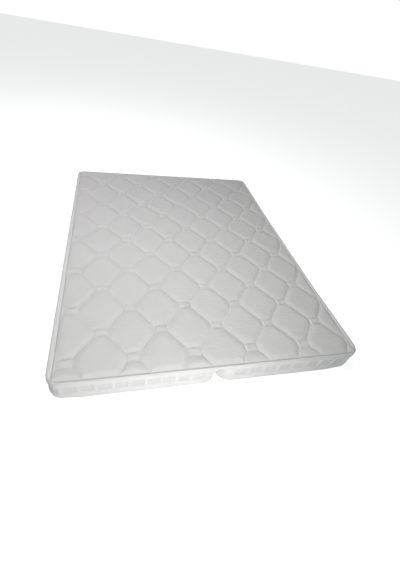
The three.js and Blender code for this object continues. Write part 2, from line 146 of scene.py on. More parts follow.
class MattressSizes(bpy.types.PropertyGroup):
    """Outer sizes and layers of the mattress"""

    length: length_of("Length", "Long side", cad_high.y - cad_low.y)
    width: length_of("Width", "Short side, both halves", cad_high.x - cad_low.x)
    height: length_of("Height", "Floor to the top of the puffs", cad_high.z - cad_low.z)
    corner: length_of("Corner radius", "Outer corners, seen from above", 0.06)
    clearance: length_of("Clearance", "Gap between neighbouring pieces", 0.0003)
    wall_cloth: length_of("Wall cloth", "Thickness of the side at the fold", 0.003)
    bottom_cloth: length_of("Bottom cloth", "Thickness of the underside", 0.003)
    comfort: length_of("Comfort layer", "Thickness of the softer foam", 0.025)
    fold_reach: length_of("Fold reach", "Cloth that bends on each side of the fold", 0.007)
    slim: length_of("Slim side", "How far the right side lies in at its ends", 0.002)
    waist: length_of("Waist", "How much further it draws in halfway along", 0.012)


class QuiltSizes(bpy.types.PropertyGroup):
    """Quilting of the top: puffs, channels and stitched patches"""

    pitch_across: length_of("Pitch across", "Patch to patch over the width", 0.151)
    pitch_along: length_of("Pitch along", "Patch to patch over the length", 0.152)
    patch_width: length_of("Patch width", "Stitched patch, over the width", 0.065)
    patch_depth: length_of("Patch depth", "Stitched patch, over the length", 0.040)
    shift_across: length_of("Shift across", "Place of one patch", -0.116, -1.0)
    shift_along: length_of("Shift along", "Place of one patch", 0.0, -1.0)
    drift_across: drift_of("Drift across", (-0.0018, -0.005, 0.0018, -0.0103, 0.0, 0.0093))
    drift_along: drift_of("Drift along", (0.003, 0.0098, -0.006, 0.0, 0.0195, -0.0262))
    puff_height: length_of("Puff height", "Crown of a puff over its channel", 0.010)
    backing: length_of("Backing", "Quilt under the channels", 0.006)
    shoulder: length_of("Shoulder", "How far a puff rises before it levels out", 0.018)
    shoulder_share: share_of("Shoulder share", "Part of a puff's rise in its shoulder", 0.58)
    patch_height: length_of("Patch height", "Padding of a stitched patch", 0.005)
    rib_count: IntProperty(
        name="Patch ribs", description="Ribs in a patch", default=7, min=1, max=20
    )
    rib_height: length_of("Rib height", "Height of the ribs in a patch", 0.001)
    edge_inset: length_of("Edge inset", "Quilt edge from the outer side", 0.0128)
    side_inset: length_of("Side inset", "Lip of the edge strips from the outer side", 0.006)
    strip_width: length_of("Edge strip", "Plain strip along each long side", 0.025)
    strip_height: length_of("Edge strip height", "Crown of the strip over its seam", 0.0058)
    roll: length_of("Roll", "Width over which the top rolls down to its seam", 0.052)
    wander: length_of("Wander", "How far the channels stray from straight", 0.0022)
    crease: length_of("Creases", "Depth of the slack creases in the cloth", 0.0007)
    slack: share_of("Slack", "Spare cloth between the stitches", 0.008)
    pressure: FloatProperty(
        name="Padding pressure", description="Lift of the wadding", default=4.0, min=0.0
    )
    swell_limit: length_of("Swell limit", "Furthest that the cloth moves as it swells", 0.004)


class BandSizes(bpy.types.PropertyGroup):
    """Side band: margins, blocks and the notches at the fold"""

    thickness: length_of("Thickness", "Padding of the band", 0.016)
    foot: length_of("Foot", "Lowest edge over the floor", 0.001)
    top: length_of("Top seam", "Height of the top seam", 0.142)
    upper_stitch: length_of("Upper stitch", "Height of the upper stitch line", 0.117)
    lower_stitch: length_of("Lower stitch", "Height of the lower stitch line", 0.057)
    lower_crown: length_of("Lower crown", "Fullest height of the lower margin", 0.024)
    seam_inset: length_of("Seam depth", "Depth of the band at its top seam", 0.006)
    stitch_inset: length_of("Stitch depth", "Depth of the margins at the stitches", 0.003)
    margin_inset: length_of("Margin depth", "Depth of the margins' crowns", 0.001)
    block_pitch: length_of("Block pitch", "Length of a block with one strip", 0.0785)
    strip_width: length_of("Strip width", "Raised strip between two blocks", 0.009)
    block_depth: length_of("Block depth", "How deep a block is dished", 0.0038)
    block_slope: length_of("Block slope", "Width of the slope round a block", 0.008)
    left_notch: length_of("Left notch", "Radius where the left half turns in", 0.070)
    right_notch: length_of("Right notch", "Radius where the right half turns in", 0.076)
    left_turn: share_of("Left notch shape", "How the left half closes its notch", 0.9, 9.0)
    right_turn: share_of("Right notch shape", "How the right half closes its notch", 2.2, 9.0)
    crease: length_of("Creases", "Depth of the creases in the band", 0.0009)
    piping_radius: length_of("Piping radius", "Edge roll at the top seam", 0.0045)
    piping_inset: length_of("Piping inset", "Edge roll from the outer side", 0.008)


class ZipSizes(bpy.types.PropertyGroup):
    """Zips in the back of each half"""

    start: length_of("Start", "Near end from the fold", 0.1)
    end: length_of("End", "Far end from the fold", 0.7)
    height: length_of("Height", "Middle of the zip over the floor", 0.027)
    face_inset: length_of("Face inset", "Flat of the band behind the tape", 0.011)
    tape_width: length_of("Tape width", "Woven tape", 0.028)
    tape_thickness: length_of("Tape thickness", "Woven tape", 0.0012)
    tooth_pitch: length_of("Tooth pitch", "Coil turn to coil turn", 0.0021)
    tooth_reach: length_of("Tooth reach", "Half width of the coil", 0.003)
    tooth_radius: length_of("Tooth radius", "Half thickness of a coil turn", 0.0008)
    stop_length: length_of("Stop length", "End stop along the zip", 0.004)
    stop_width: length_of("Stop width", "End stop across the zip", 0.009)
    stop_height: length_of("Stop height", "End stop over the tape", 0.003)


class Finishes(bpy.types.PropertyGroup):
    """Colours of the pieces"""

    quilt: colour_of("Quilt", "Knitted top cloth", (0.70, 0.685, 0.685))
    band: colour_of("Band", "Knitted cloth of the side band", (0.80, 0.795, 0.79))
    piping: colour_of("Piping", "Edge roll", (0.78, 0.775, 0.77))
    # Painted light: this paler colour lifts the channels and patches out of their shade.
    thread: colour_of("Thread", "Channels and patches, pressed smooth", (0.78, 0.765, 0.765))
    strip: colour_of("Edge strip", "Plain cloth along the long sides", (0.75, 0.74, 0.735))
    # Painted shade: this darker colour stands in for the shade in the seams' grooves.
    seam: colour_of("Seam", "Dull groove of the seams", (0.56, 0.55, 0.555))
    wall: colour_of("Fold side", "Plain cloth at the fold", (0.66, 0.65, 0.64))
    underside: colour_of("Underside", "Plain backing cloth", (0.52, 0.52, 0.51))
    foam: colour_of("Foam", "Firm core", (0.80, 0.70, 0.50))
    soft_foam: colour_of("Soft foam", "Comfort layer", (0.86, 0.82, 0.70))
    tape: colour_of("Zip tape", "Woven tape", (0.68, 0.68, 0.66))
    coil: colour_of("Zip coil", "Nylon coil", (0.72, 0.72, 0.70))
    metal: colour_of("Zip metal", "Slider and puller", (0.55, 0.56, 0.57))


class StudioSettings(bpy.types.PropertyGroup):
    """Camera, lamps and floor"""

    camera_place: place_of("Camera place", "Where the camera stands", (-0.4993, -1.6194, 1.4025))
    front_place: place_of("Front place", "Low lamp in front of the short side", (-0.2, -1.95, 0.45))
    side_place: place_of("Side place", "Wide lamp overhead, to the left and back", (-1.2, 0.7, 3.3))
    top_place: place_of("Top place", "Lamp over the front middle", (-0.22, -0.57, 1.6))
    front_power: power_of("Front power", "Low lamp in front", 8.8)
    side_power: power_of("Side power", "Wide overhead lamp", 58.5)
    top_power: power_of("Top power", "Lamp over the front middle", 10.6)
    front_colour: colour_of("Front colour", "Tint of the front lamp", (1.0, 1.0, 1.0))
    side_colour: colour_of("Side colour", "Tint of the side lamp", (1.0, 0.966, 0.98))
    top_colour: colour_of("Top colour", "Tint of the top lamp", (0.975, 1.0, 0.99))
    sky: share_of("Sky", "Even light from all round", 0.08)
    sky_colour: colour_of("Sky colour", "Tint of the even light", (0.8, 1.0, 0.93))
    floor: colour_of("Floor", "Pale floor", (0.9, 0.9, 0.9))
    floor_lift: share_of("Floor lift", "How far the camera sees the floor as white", 0.75)


# Small tools for arrays and meshes


def smooth(low, high, value):
    """Eases from 0 at low to 1 at high, as three t squared less two t cubed."""
    t = np.clip((value - low) / (high - low), 0.0, 1.0)
    return t * t * (3.0 - 2.0 * t)


def soft_least(values, width):
    """A rounded minimum: minus width times the log of the sum of exp(-value / width)."""
    return -width * np.log(sum(np.exp(-v / width) for v in values))


def to_even(value, pitch):
    """Distance to the nearest even multiple of a pitch, a wave of straight slopes."""
    return np.abs(np.mod(value + pitch, 2.0 * pitch) - pitch)


def clouds(u, v, cell_u, cell_v, seed):
    """Smooth noise from -1 to 1: random values on a grid of cells, eased between. The grid
    repeats after its count of cells, and its start moves with the seed."""
    count = 64
    table = np.random.default_rng(seed).uniform(-1.0, 1.0, (count, count))
    s, t = u / cell_u + 0.37 * seed, v / cell_v + 0.61 * seed
    i, j = np.floor(s).astype(int), np.floor(t).astype(int)
    a, b = smooth(0.0, 1.0, s - i), smooth(0.0, 1.0, t - j)

    def corner(di, dj):
        return table[(i + di) % count, (j + dj) % count]

    return (
        corner(0, 0) * (1 - a) * (1 - b)
        + corner(1, 0) * a * (1 - b)
        + corner(0, 1) * (1 - a) * b
        + corner(1, 1) * a * b
    )


def merge_lines(lines, wanted, gap):
    """Grid lines with the wanted ones put in and any other within gap of those left out."""
    wanted = np.unique(np.round(wanted, 7))
    near = np.abs(lines[:, None] - wanted[None, :]).min(axis=1) < gap
    return np.sort(np.concatenate([lines[~near], wanted]))


def grid_faces(rows, columns, wrap=False):
    """Quads between the points of a grid whose second index may run round to its start."""
    i = np.arange(rows - 1)[:, None]
    j = np.arange(columns if wrap else columns - 1)[None, :]
    k = (j + 1) % columns
    corners = (i * columns + j, (i + 1) * columns + j, (i + 1) * columns + k, i * columns + k)
    return np.stack([c.ravel() for c in corners], axis=1)


def end_faces(rows, columns):
    """The two faces of many sides that close a tube of rings at its first and last ring."""
    ring = np.arange(columns)
    return np.stack([ring[::-1], ring + (rows - 1) * columns])


def lines_in(rows, columns):
    """How many lines in from the edge each point of a grid lies."""
    i, j = np.indices((rows, columns))
    return np.minimum.reduce([i, rows - 1 - i, j, columns - 1 - j])


def enclosed(points, faces):
    """Volume inside closed faces, as a sum over fans of triangles from each first corner."""
    total = 0.0
    for group in faces:
        a = points[group[:, 0]]
        for step in range(1, group.shape[1] - 1):
            b, c = points[group[:, step]], points[group[:, step + 1]]
            total += float((a * np.cross(b, c)).sum()) / 6.0
    return total


def draw_in(points, sizes):
    """Draws the soft right side in towards its middle: a smooth share of the last tenth of a
    metre across, times the slim side and the waist, which is fullest just before halfway."""
    x, y = points[:, 0], points[:, 1]
    edge, soft = sizes.width / 2, 0.1
    along = smooth(-0.98, -0.45, y) * smooth(0.98, 0.2, y)
    moved = points.copy()
    moved[:, 0] -= smooth(edge - soft, edge, x) * (sizes.slim + sizes.waist * along)
    return moved


def make_piece(name, points, faces, material, uv=None, crease=75.0):
    """A mesh object from an array of points and one array of faces for each count of sides.

    The faces are turned over if they enclose a negative volume, so that they point out.
    """
    points = np.asarray(points, float).reshape(-1, 3)
    points = draw_in(points, bpy.context.scene.mattress_sizes)
    if enclosed(points, faces) < 0.0:
        faces = [group[:, ::-1] for group in faces]
    corners = np.concatenate([group.ravel() for group in faces]).astype(np.int32)
    counts = np.concatenate([np.full(len(group), group.shape[1]) for group in faces])
    starts = np.concatenate([[0], np.cumsum(counts)[:-1]]).astype(np.int32)
    mesh = bpy.data.meshes.new(name)
    mesh.vertices.add(len(points))
    mesh.vertices.foreach_set("co", points.astype(np.float32).ravel())
    mesh.loops.add(len(corners))
    mesh.loops.foreach_set("vertex_index", corners)
    mesh.polygons.add(len(counts))
    mesh.polygons.foreach_set("loop_start", starts)
    mesh.update(calc_edges=True)
    mesh.polygons.foreach_set("use_smooth", np.ones(len(counts), bool))
    if uv is not None:
        layer = mesh.uv_layers.new(name="cloth")
        flat = np.asarray(uv, np.float32).reshape(-1, 2)[corners]
        layer.data.foreach_set("uv", flat.ravel())
    if mesh.validate():
        raise RuntimeError(f"{name} has faces that Blender had to mend")
    mesh.set_sharp_from_angle(angle=math.radians(crease))
    mesh.materials.append(material)
    piece = bpy.data.objects.new(name, mesh)
    bpy.context.scene.collection.objects.link(piece)
    return piece


# Finishes


class Finish:
    """The node tree of a material or world, with a short method for each kind of node."""

    def __init__(self, owner, output="ShaderNodeOutputMaterial"):
        owner.use_nodes = True
        self.owner = owner
        self.tree = owner.node_tree
        self.tree.nodes.clear()
        self.output = self.add(output)

    def put(self, socket, value):
        """Links an output, or sets a plain value."""
        if isinstance(value, bpy.types.NodeSocket):
            self.tree.links.new(value, socket)
        else:
            socket.default_value = value

    def add(self, kind, inputs=(), **settings):
        """A node of a kind, with its settings and its inputs by name or number."""
        node = self.tree.nodes.new(kind)
        for key, value in settings.items():
            setattr(node, key, value)
        for key, value in dict(inputs).items():
            self.put(node.inputs[key], value)
        return node

    def math(self, operation, *values):
        """One Math node."""
        node = self.add("ShaderNodeMath", enumerate(values), operation=operation)
        return node.outputs[0]

    def add_up(self, *values):
        """The sum of several values."""
        return functools.reduce(functools.partial(self.math, "ADD"), values)

    def times(self, *values):
        """The product of several values."""
        return functools.reduce(functools.partial(self.math, "MULTIPLY"), values)

    def larger(self, *values):
        """The largest of several values."""
        return functools.reduce(functools.partial(self.math, "MAXIMUM"), values)

    def minus(self, value, less):
        """One value less another."""
        return self.math("SUBTRACT", value, less)

    def size(self, value):
        """A value without its sign."""
        return self.math("ABSOLUTE", value)

    def ease(self, value, low, high, start=0.0, end=1.0):
        """Eases from start to end while a value goes from low to high."""
        inputs = {
            "Value": value,
            "From Min": low,
            "From Max": high,
            "To Min": start,
            "To Max": end,
        }
        node = self.add("ShaderNodeMapRange", inputs, interpolation_type="SMOOTHSTEP")
        return node.outputs[0]

    def fade(self, value, low, high):
        """Eases from 1 to 0 while a value goes from low to high."""
        return self.ease(value, low, high, 1.0, 0.0)

    def cloth_place(self):
        """The cloth's own flat coordinates in metres, u and v."""
        place = self.add("ShaderNodeUVMap", uv_map="cloth").outputs[0]
        parts = self.add("ShaderNodeSeparateXYZ", {0: place})
        return place, parts.outputs[0], parts.outputs[1]

    def object_place(self):
        """The piece's own coordinates in metres."""
        return self.add("ShaderNodeTexCoord").outputs["Object"]

    def noise(self, place, scale, detail, rough):
        """Cloudy noise, from 0 to 1, at a scale of so many clouds in a metre on each axis."""
        mapped = self.add("ShaderNodeMapping", {"Vector": place, "Scale": scale})
        inputs = {
            "Vector": mapped.outputs[0],
            "Scale": 1.0,
            "Detail": detail,
            "Roughness": rough,
        }
        return self.add("ShaderNodeTexNoise", inputs).outputs[0]

    def fine(self, place, across=190.0):
        """Fine unevenness of a knit, from 0 to 1."""
        return self.noise(place, (across, 230.0, 1.0), 3.0, 0.6)

    def slack(self, place, across, along, height):
        """Slack creases of a height: so many long clouds in a metre across and along."""
        return self.times(self.noise(place, (across, along, 1.0), 3.0, 0.55), height)

    def wave(self, value, pitch):
        """A sine of a length, from -1 to 1, that repeats at each pitch."""
        return self.math("SINE", self.times(value, 2.0 * math.pi / pitch))

    def dashes(self, value, pitch, low=-0.5, high=0.2):
        """Stitches along a line, 1 on the thread and 0 between."""
        return self.ease(self.wave(value, pitch), low, high)

    def tint(self, share, first, second):
        """Mixes a linked or plain colour with a plain one by a share."""
        linked = isinstance(first, bpy.types.NodeSocket)
        inputs = {0: share, 6: first if linked else (*first, 1.0), 7: (*second, 1.0)}
        return self.add("ShaderNodeMix", inputs, data_type="RGBA").outputs[2]

    def seen(self):
        """1 for a ray straight from the camera or by way of gloss or glass, and 0 if not."""
        path = self.add("ShaderNodeLightPath").outputs
        return self.larger(
            path["Is Camera Ray"], path["Is Glossy Ray"], path["Is Transmission Ray"]
        )

    def surface(self, colour, height, **sockets):
        """Ends the tree in one Principled shader, over a bump whose height is in metres."""
        bump = self.add("ShaderNodeBump", {"Height": height, "Distance": 1.0})
        inputs = {key.replace("_", " "): value for key, value in sockets.items()}
        inputs.update({"Base Color": colour, "Normal": bump.outputs[0]})
        shader = self.add("ShaderNodeBsdfPrincipled", inputs)
        self.put(self.output.inputs[0], shader.outputs[0])
        return self.owner


def finish_of(name):
    """An empty finish for a new material."""
    return Finish(bpy.data.materials.new(name))


def darker(colour, share):
    """A colour times a share."""
    return tuple(channel * share for channel in colour)


def knit_height(finish, u, v, wale, course, depth):
    """Height of a knitted cloth: columns of loops a wale wide, each leaning left and right
    from course to course."""
    lean = finish.times(finish.wave(v, course), wale * 0.22)
    column = finish.size(finish.wave(finish.add_up(u, lean), wale * 2.0))
    loop = finish.size(finish.wave(v, course * 2.0))
    return finish.times(column, finish.add_up(loop, 0.7), depth)


def quilt_cloth(finishes, sizes, quilt):
    """Knitted top cloth. Its stitch lines, gathers and ribbed patches come from the same
    pattern as the puffs: the distance to the diagonal that joins two patch corners. The
    channels and patches are paler, painted light that lifts them out of their shade. The
    edge strips are of the band's cloth, and the seam all round is darker, painted shade in
    its groove."""
    f = finish_of("quilt_cloth")
    stitch, gather_pitch, zigzag, seam = 0.0045, 0.0125, 0.004, 0.001
    rib_depth, gather_depth, groove, thread_depth = 0.0004, 0.00032, -0.0008, 0.0005
    place, u, v = f.cloth_place()
    pitch_u, pitch_v = quilt.pitch_across, quilt.pitch_along
    half_u, half_v = quilt.patch_width / 2, quilt.patch_depth / 2
    run_u, run_v = pitch_u - 2 * half_u, pitch_v - 2 * half_v
    long = math.hypot(run_u, run_v)
    a = f.math("PINGPONG", f.minus(u, quilt.shift_across), pitch_u)
    b = f.math("PINGPONG", f.minus(v, quilt.shift_along), pitch_v)
    from_u, from_v = f.minus(a, half_u), f.minus(b, half_v)
    off = f.size(f.minus(f.times(from_u, run_v / long), f.times(from_v, run_u / long)))
    along = f.add_up(f.times(from_u, run_u / long), f.times(from_v, run_v / long))
    far_patch = f.larger(f.minus(pitch_u - half_u, a), f.minus(pitch_v - half_v, b))
    outside = f.math("MINIMUM", f.larger(from_u, from_v), far_patch)
    in_patch = f.fade(outside, -0.003, 0.0)
    between = f.minus(1.0, in_patch)
    channel = f.times(f.fade(off, 0.0, 0.0026), between)
    line = f.larger(channel, f.fade(f.size(outside), 0.0, 0.0022))
    thread = f.times(f.fade(off, 0.0003, 0.0009), f.dashes(along, stitch), between)
    slanted = f.add_up(u, f.math("PINGPONG", v, zigzag))
    ribs = f.wave(slanted, quilt.patch_width / quilt.rib_count / 2.0)
    gather = f.wave(f.add_up(along, f.times(off, 0.35)), gather_pitch)
    fine = f.times(f.fine(place, 170.0), 0.0004)
    height = f.add_up(
        f.times(ribs, in_patch, rib_depth),
        f.times(gather, f.fade(off, 0.001, 0.02), between, gather_depth),
        f.slack(place, 24.0, 62.0, 0.0022),
        fine,
        f.times(line, groove),
        f.times(thread, thread_depth),
        knit_height(f, u, v, 0.0016, 0.0012, 0.00012),
    )
    mottle = f.noise(place, (9.0, 9.0, 1.0), 4.0, 0.6)
    shade = f.add_up(f.times(f.ease(mottle, 0.3, 0.7), 0.55), f.times(fine, 300.0))
    colour = f.tint(shade, finishes.quilt, darker(finishes.quilt, 0.94))
    # Painted light: channels and patches are mixed towards a paler colour, lifting them out of
    # their shade.
    painted_light = f.larger(f.times(line, 0.4), f.times(in_patch, 0.85))
    colour = f.tint(painted_light, colour, finishes.thread)
    out = f.size(u)
    sewn = sizes.width / 2 - quilt.side_inset - quilt.strip_width
    colour = f.tint(f.ease(out, sewn - seam, sewn + seam), colour, finishes.strip)
    # Painted shade: darker along the long sides' sewn lines, in their grooves.
    seam_shade = f.times(f.fade(f.size(f.minus(out, sewn)), seam, 0.0045), 0.9)
    colour = f.tint(seam_shade, colour, finishes.seam)
    # Painted shade: darker along the short sides' rim, in the groove by the edge roll.
    rim = sizes.length / 2 - quilt.edge_inset
    colour = f.tint(f.ease(f.size(v), rim - 0.005, rim - seam), colour, finishes.seam)
    return f.surface(colour, height, Roughness=0.92, Sheen_Weight=0.15, Sheen_Roughness=0.5)


def band_cloth(finishes, band):
    """Knitted cloth of the band. Its blocks are ribbed along and a little darker, partly from
    the knit's own tone and partly painted shade in their dishes. Its strips and margins are
    plain, though painted shade lies a little over the whole zone between the stitch lines,
    in the stitch grooves and in the rib hollows. Stitches run along both stitch lines."""
    f = finish_of("band_cloth")
    stitch, gather_pitch, rib_pitch, rib_sway = 0.005, 0.0135, 0.0075, 0.0006
    rib_depth, gather_depth, groove, thread_depth = 0.00045, 0.00045, -0.0009, 0.0007
    place, u, v = f.cloth_place()
    off = f.minus(f.math("PINGPONG", u, band.block_pitch / 2), band.strip_width / 2)
    middle = (band.lower_stitch + band.upper_stitch) / 2
    half = (band.upper_stitch - band.lower_stitch) / 2
    to_line = f.minus(half, f.size(f.minus(v, middle)))
    zone = f.ease(to_line, 0.0, 0.007)
    block = f.times(f.ease(off, -0.001, 0.008), zone, f.ease(u, 0.0, 0.004))
    ribs = f.wave(f.add_up(v, f.times(f.wave(u, 0.05), rib_sway)), rib_pitch)
    ribs = f.times(ribs, block, rib_depth)
    seam = f.fade(f.size(to_line), 0.0003, 0.0012)
    beside = f.fade(to_line, -0.001, 0.001)
    gather = f.times(f.wave(u, gather_pitch), f.ease(to_line, -0.024, -0.002), beside)
    fine = f.fine(place)
    height = f.add_up(
        ribs,
        f.slack(place, 30.0, 55.0, 0.0022),
        f.times(gather, gather_depth),
        f.times(fine, 0.0004),
        f.times(seam, groove),
        f.times(seam, f.dashes(u, stitch), thread_depth),
        knit_height(f, u, v, 0.0016, 0.0012, 0.00013),
    )
    # Painted shade: a little over the zone between the stitch lines and its raised strips, more on
    # the dished blocks (whose knit is also a darker tone), in the stitch grooves, and in the rib
    # hollows through the ribs' height; the fine part is the knit's random tone.
    shade = f.add_up(
        f.times(zone, 0.15),
        f.times(block, 0.27),
        f.times(seam, 0.25),
        f.times(fine, 0.25),
        f.times(ribs, -260.0),
    )
    colour = f.tint(shade, finishes.band, darker(finishes.band, 0.78))
    return f.surface(colour, height, Roughness=0.93, Sheen_Weight=0.12, Sheen_Roughness=0.5)


def plain_cloth(name, colour, crease, wale=0.0016, course=0.0012):
    """Knitted or woven cloth without quilting, with slack creases that run along it."""
    f = finish_of(name)
    place, u, v = f.cloth_place()
    slack, fine = f.slack(place, 34.0, 60.0, crease), f.fine(place)
    knit = knit_height(f, u, v, wale, course, 0.00013)
    height = f.add_up(slack, f.times(fine, 0.0004), knit)
    mottle = f.noise(place, (11.0, 11.0, 1.0), 4.0, 0.6)
    shade = f.add_up(f.ease(mottle, 0.3, 0.7), f.times(fine, 0.3))
    colour = f.tint(shade, colour, darker(colour, 0.92))
    return f.surface(colour, height, Roughness=0.93, Sheen_Weight=0.12, Sheen_Roughness=0.5)


def foam_finish(name, colour, cell):
    """Open foam: round cells of a size, seen as small dark pits, their darkness painted shade in
    the hollows.
    """
    f = finish_of(name)
    place = f.object_place()
    cells = f.add("ShaderNodeTexVoronoi", {"Vector": place, "Scale": 1.0 / cell})
    pits = f.ease(cells.outputs[0], 0.1, 0.6)
    cloud = f.noise(place, (8.0, 8.0, 8.0), 3.0, 0.6)
    # Painted shade: the pits are darker where their hollows lie; the cloud is the foam's random
    # tone.
    shade = f.add_up(f.times(cloud, 0.4), f.times(pits, 0.6))
    colour = f.tint(shade, darker(colour, 0.8), colour)
    return f.surface(colour, f.times(pits, cell * 0.5), Roughness=0.98)


def tape_cloth(finishes, zips):
    """Twill tape: slanting ribs, with a row of stitches near each edge."""
    f = finish_of("tape_cloth")
    twill_pitch, twill_depth, stitch, thread_depth, hem = 0.0011, 0.00008, 0.003, 0.0003, 0.0035
    place, u, v = f.cloth_place()
    twill = f.times(f.wave(f.add_up(u, v), twill_pitch), twill_depth)
    edge = f.minus(f.size(v), zips.tape_width / 2 - hem)
    seam = f.fade(f.size(edge), 0.0002, 0.0007)
    stitches = f.times(seam, f.dashes(u, stitch, -0.4, 0.3))
    height = f.add_up(twill, f.times(stitches, thread_depth))
    cloud = f.noise(place, (60.0, 60.0, 1.0), 3.0, 0.6)
    shade = f.add_up(f.times(cloud, 0.6), f.times(twill, 4000.0))
    colour = f.tint(shade, finishes.tape, darker(finishes.tape, 0.86))
    return f.surface(colour, height, Roughness=0.9, Sheen_Weight=0.1)


def coil_nylon(finishes):
    """Slightly glossy nylon with faint streaks."""
    f = finish_of("coil_nylon")
    cloud = f.noise(f.object_place(), (900.0, 300.0, 900.0), 2.0, 0.5)
    colour = f.tint(cloud, finishes.coil, darker(finishes.coil, 0.85))
    return f.surface(colour, f.times(cloud, 0.00005), Roughness=0.42, Coat_Weight=0.1)


def zip_metal(finishes):
    """Die cast metal, brushed along the zip and cloudy in tone."""
    f = finish_of("zip_metal")
    place = f.object_place()
    brushed = f.noise(place, (300.0, 3500.0, 3500.0), 2.0, 0.5)
    cloud = f.noise(place, (260.0, 260.0, 260.0), 3.0, 0.6)
    colour = f.tint(cloud, finishes.metal, darker(finishes.metal, 0.72))
    rough = f.ease(brushed, 0.2, 0.8, 0.24, 0.42)
    return f.surface(colour, f.times(brushed, 0.00002), Metallic=1.0, Roughness=rough)


# Quilted top

QUILT_BLEND = 0.0007  # width over which the quilting runs out into the sections at its sides


def fold_lines(sizes):
    """Offsets of the close grid lines on both sides of the fold, to a little past its reach."""
    return np.arange(-6, 7) * sizes.fold_reach / 5.0


def quilt_relief(u, v, quilt):
    """Height of the quilting over its channels, and 1 in a stitched patch and 0 outside.

    The pattern repeats by reflection. In one cell a stitched patch lies at two opposite
    corners, and the channel joins them in a straight line. A puff's height grows with the
    rounded least distance to the lines round it, fast over its shoulder and slowly on to
    its crown. Inside a patch a low pad carries ribs.
    """
    half_u, half_v = quilt.patch_width / 2, quilt.patch_depth / 2
    pitch_u, pitch_v = quilt.pitch_across, quilt.pitch_along
    run_u, run_v = pitch_u - 2 * half_u, pitch_v - 2 * half_v
    long, to_crown, round_off = math.hypot(run_u, run_v), 0.6 * pitch_u, 0.006
    a = to_even(u - quilt.shift_across, pitch_u)
    b = to_even(v - quilt.shift_along, pitch_v)
    across = ((a - half_u) * run_v - (b - half_v) * run_u) / long
    one = soft_least([a - half_u, pitch_v - half_v - b, across], round_off)
    other = soft_least([pitch_u - half_u - a, b - half_v, -across], round_off)
    deep = np.maximum(np.maximum(one, other), 0.0)
    shoulder = 1.0 - (1.0 - np.clip(deep / quilt.shoulder, 0.0, 1.0)) ** 3
    crown = 1.0 - (1.0 - np.clip(deep / to_crown, 0.0, 1.0)) ** 2
    low = quilt.shoulder_share
    puff = quilt.puff_height * (low * shoulder + (1.0 - low) * crown)
    near = np.minimum(half_u - a, half_v - b)
    far = np.minimum(a - pitch_u + half_u, b - pitch_v + half_v)
    inside = np.maximum(np.maximum(near, far), 0.0)
    pad = smooth(0.0, round_off, inside)
    rib = quilt.patch_width / quilt.rib_count
    start = np.where(near > far, half_u - a, a - pitch_u + half_u)
    wave = 1.0 - np.abs(2.0 * np.mod(start / rib, 1.0) - 1.0)
    return puff + pad * (quilt.patch_height + quilt.rib_height * wave), pad


def past_corner(x, y, half_x, half_y, radius):
    """How far a point lies past the middle of its corner's circle, on each axis."""
    return np.abs(x) - half_x + radius, np.abs(y) - half_y + radius


def edge_distance(x, y, half_x, half_y, radius):
    """How far a point lies inside a rounded rectangle, negative outside it."""
    dx, dy = past_corner(x, y, half_x, half_y, radius)
    outer = np.hypot(np.maximum(dx, 0.0), np.maximum(dy, 0.0))
    return radius - outer - np.minimum(np.maximum(dx, dy), 0.0)


def round_corners(x, y, half_x, half_y, radius):
    """Draws a rectangle's grid in to rounded corners: in a corner square each point moves
    to the same direction at a distance equal to the larger of its two offsets."""
    dx, dy = past_corner(x, y, half_x, half_y, radius)
    corner = (dx > 0.0) & (dy > 0.0)
    span = np.where(corner, np.hypot(dx, dy), 1.0)
    share = np.where(corner, np.maximum(dx, dy) / span, 1.0)
    moved_x = np.sign(x) * (half_x - radius + dx * share)
    moved_y = np.sign(y) * (half_y - radius + dy * share)
    return np.where(corner, moved_x, x), np.where(corner, moved_y, y)


def quilt_lines(low, high, origin, pitch, patch, patch_cells, gap_cells):
    """Grid lines that follow the quilting: equal cells over each patch and over each gap, so
    that the channels run from corner to corner of the cells."""
    first, last = math.floor((low - origin) / pitch) - 1, math.ceil((high - origin) / pitch) + 1
    on_patch = np.arange(patch_cells) * patch / patch_cells - patch / 2
    on_gap = np.arange(gap_cells) * (pitch - patch) / gap_cells + patch / 2
    one = np.concatenate([on_patch, on_gap])
    lines = (origin + pitch * np.arange(first, last + 1)[:, None] + one[None, :]).ravel()
    return lines[(lines > low) & (lines < high)]


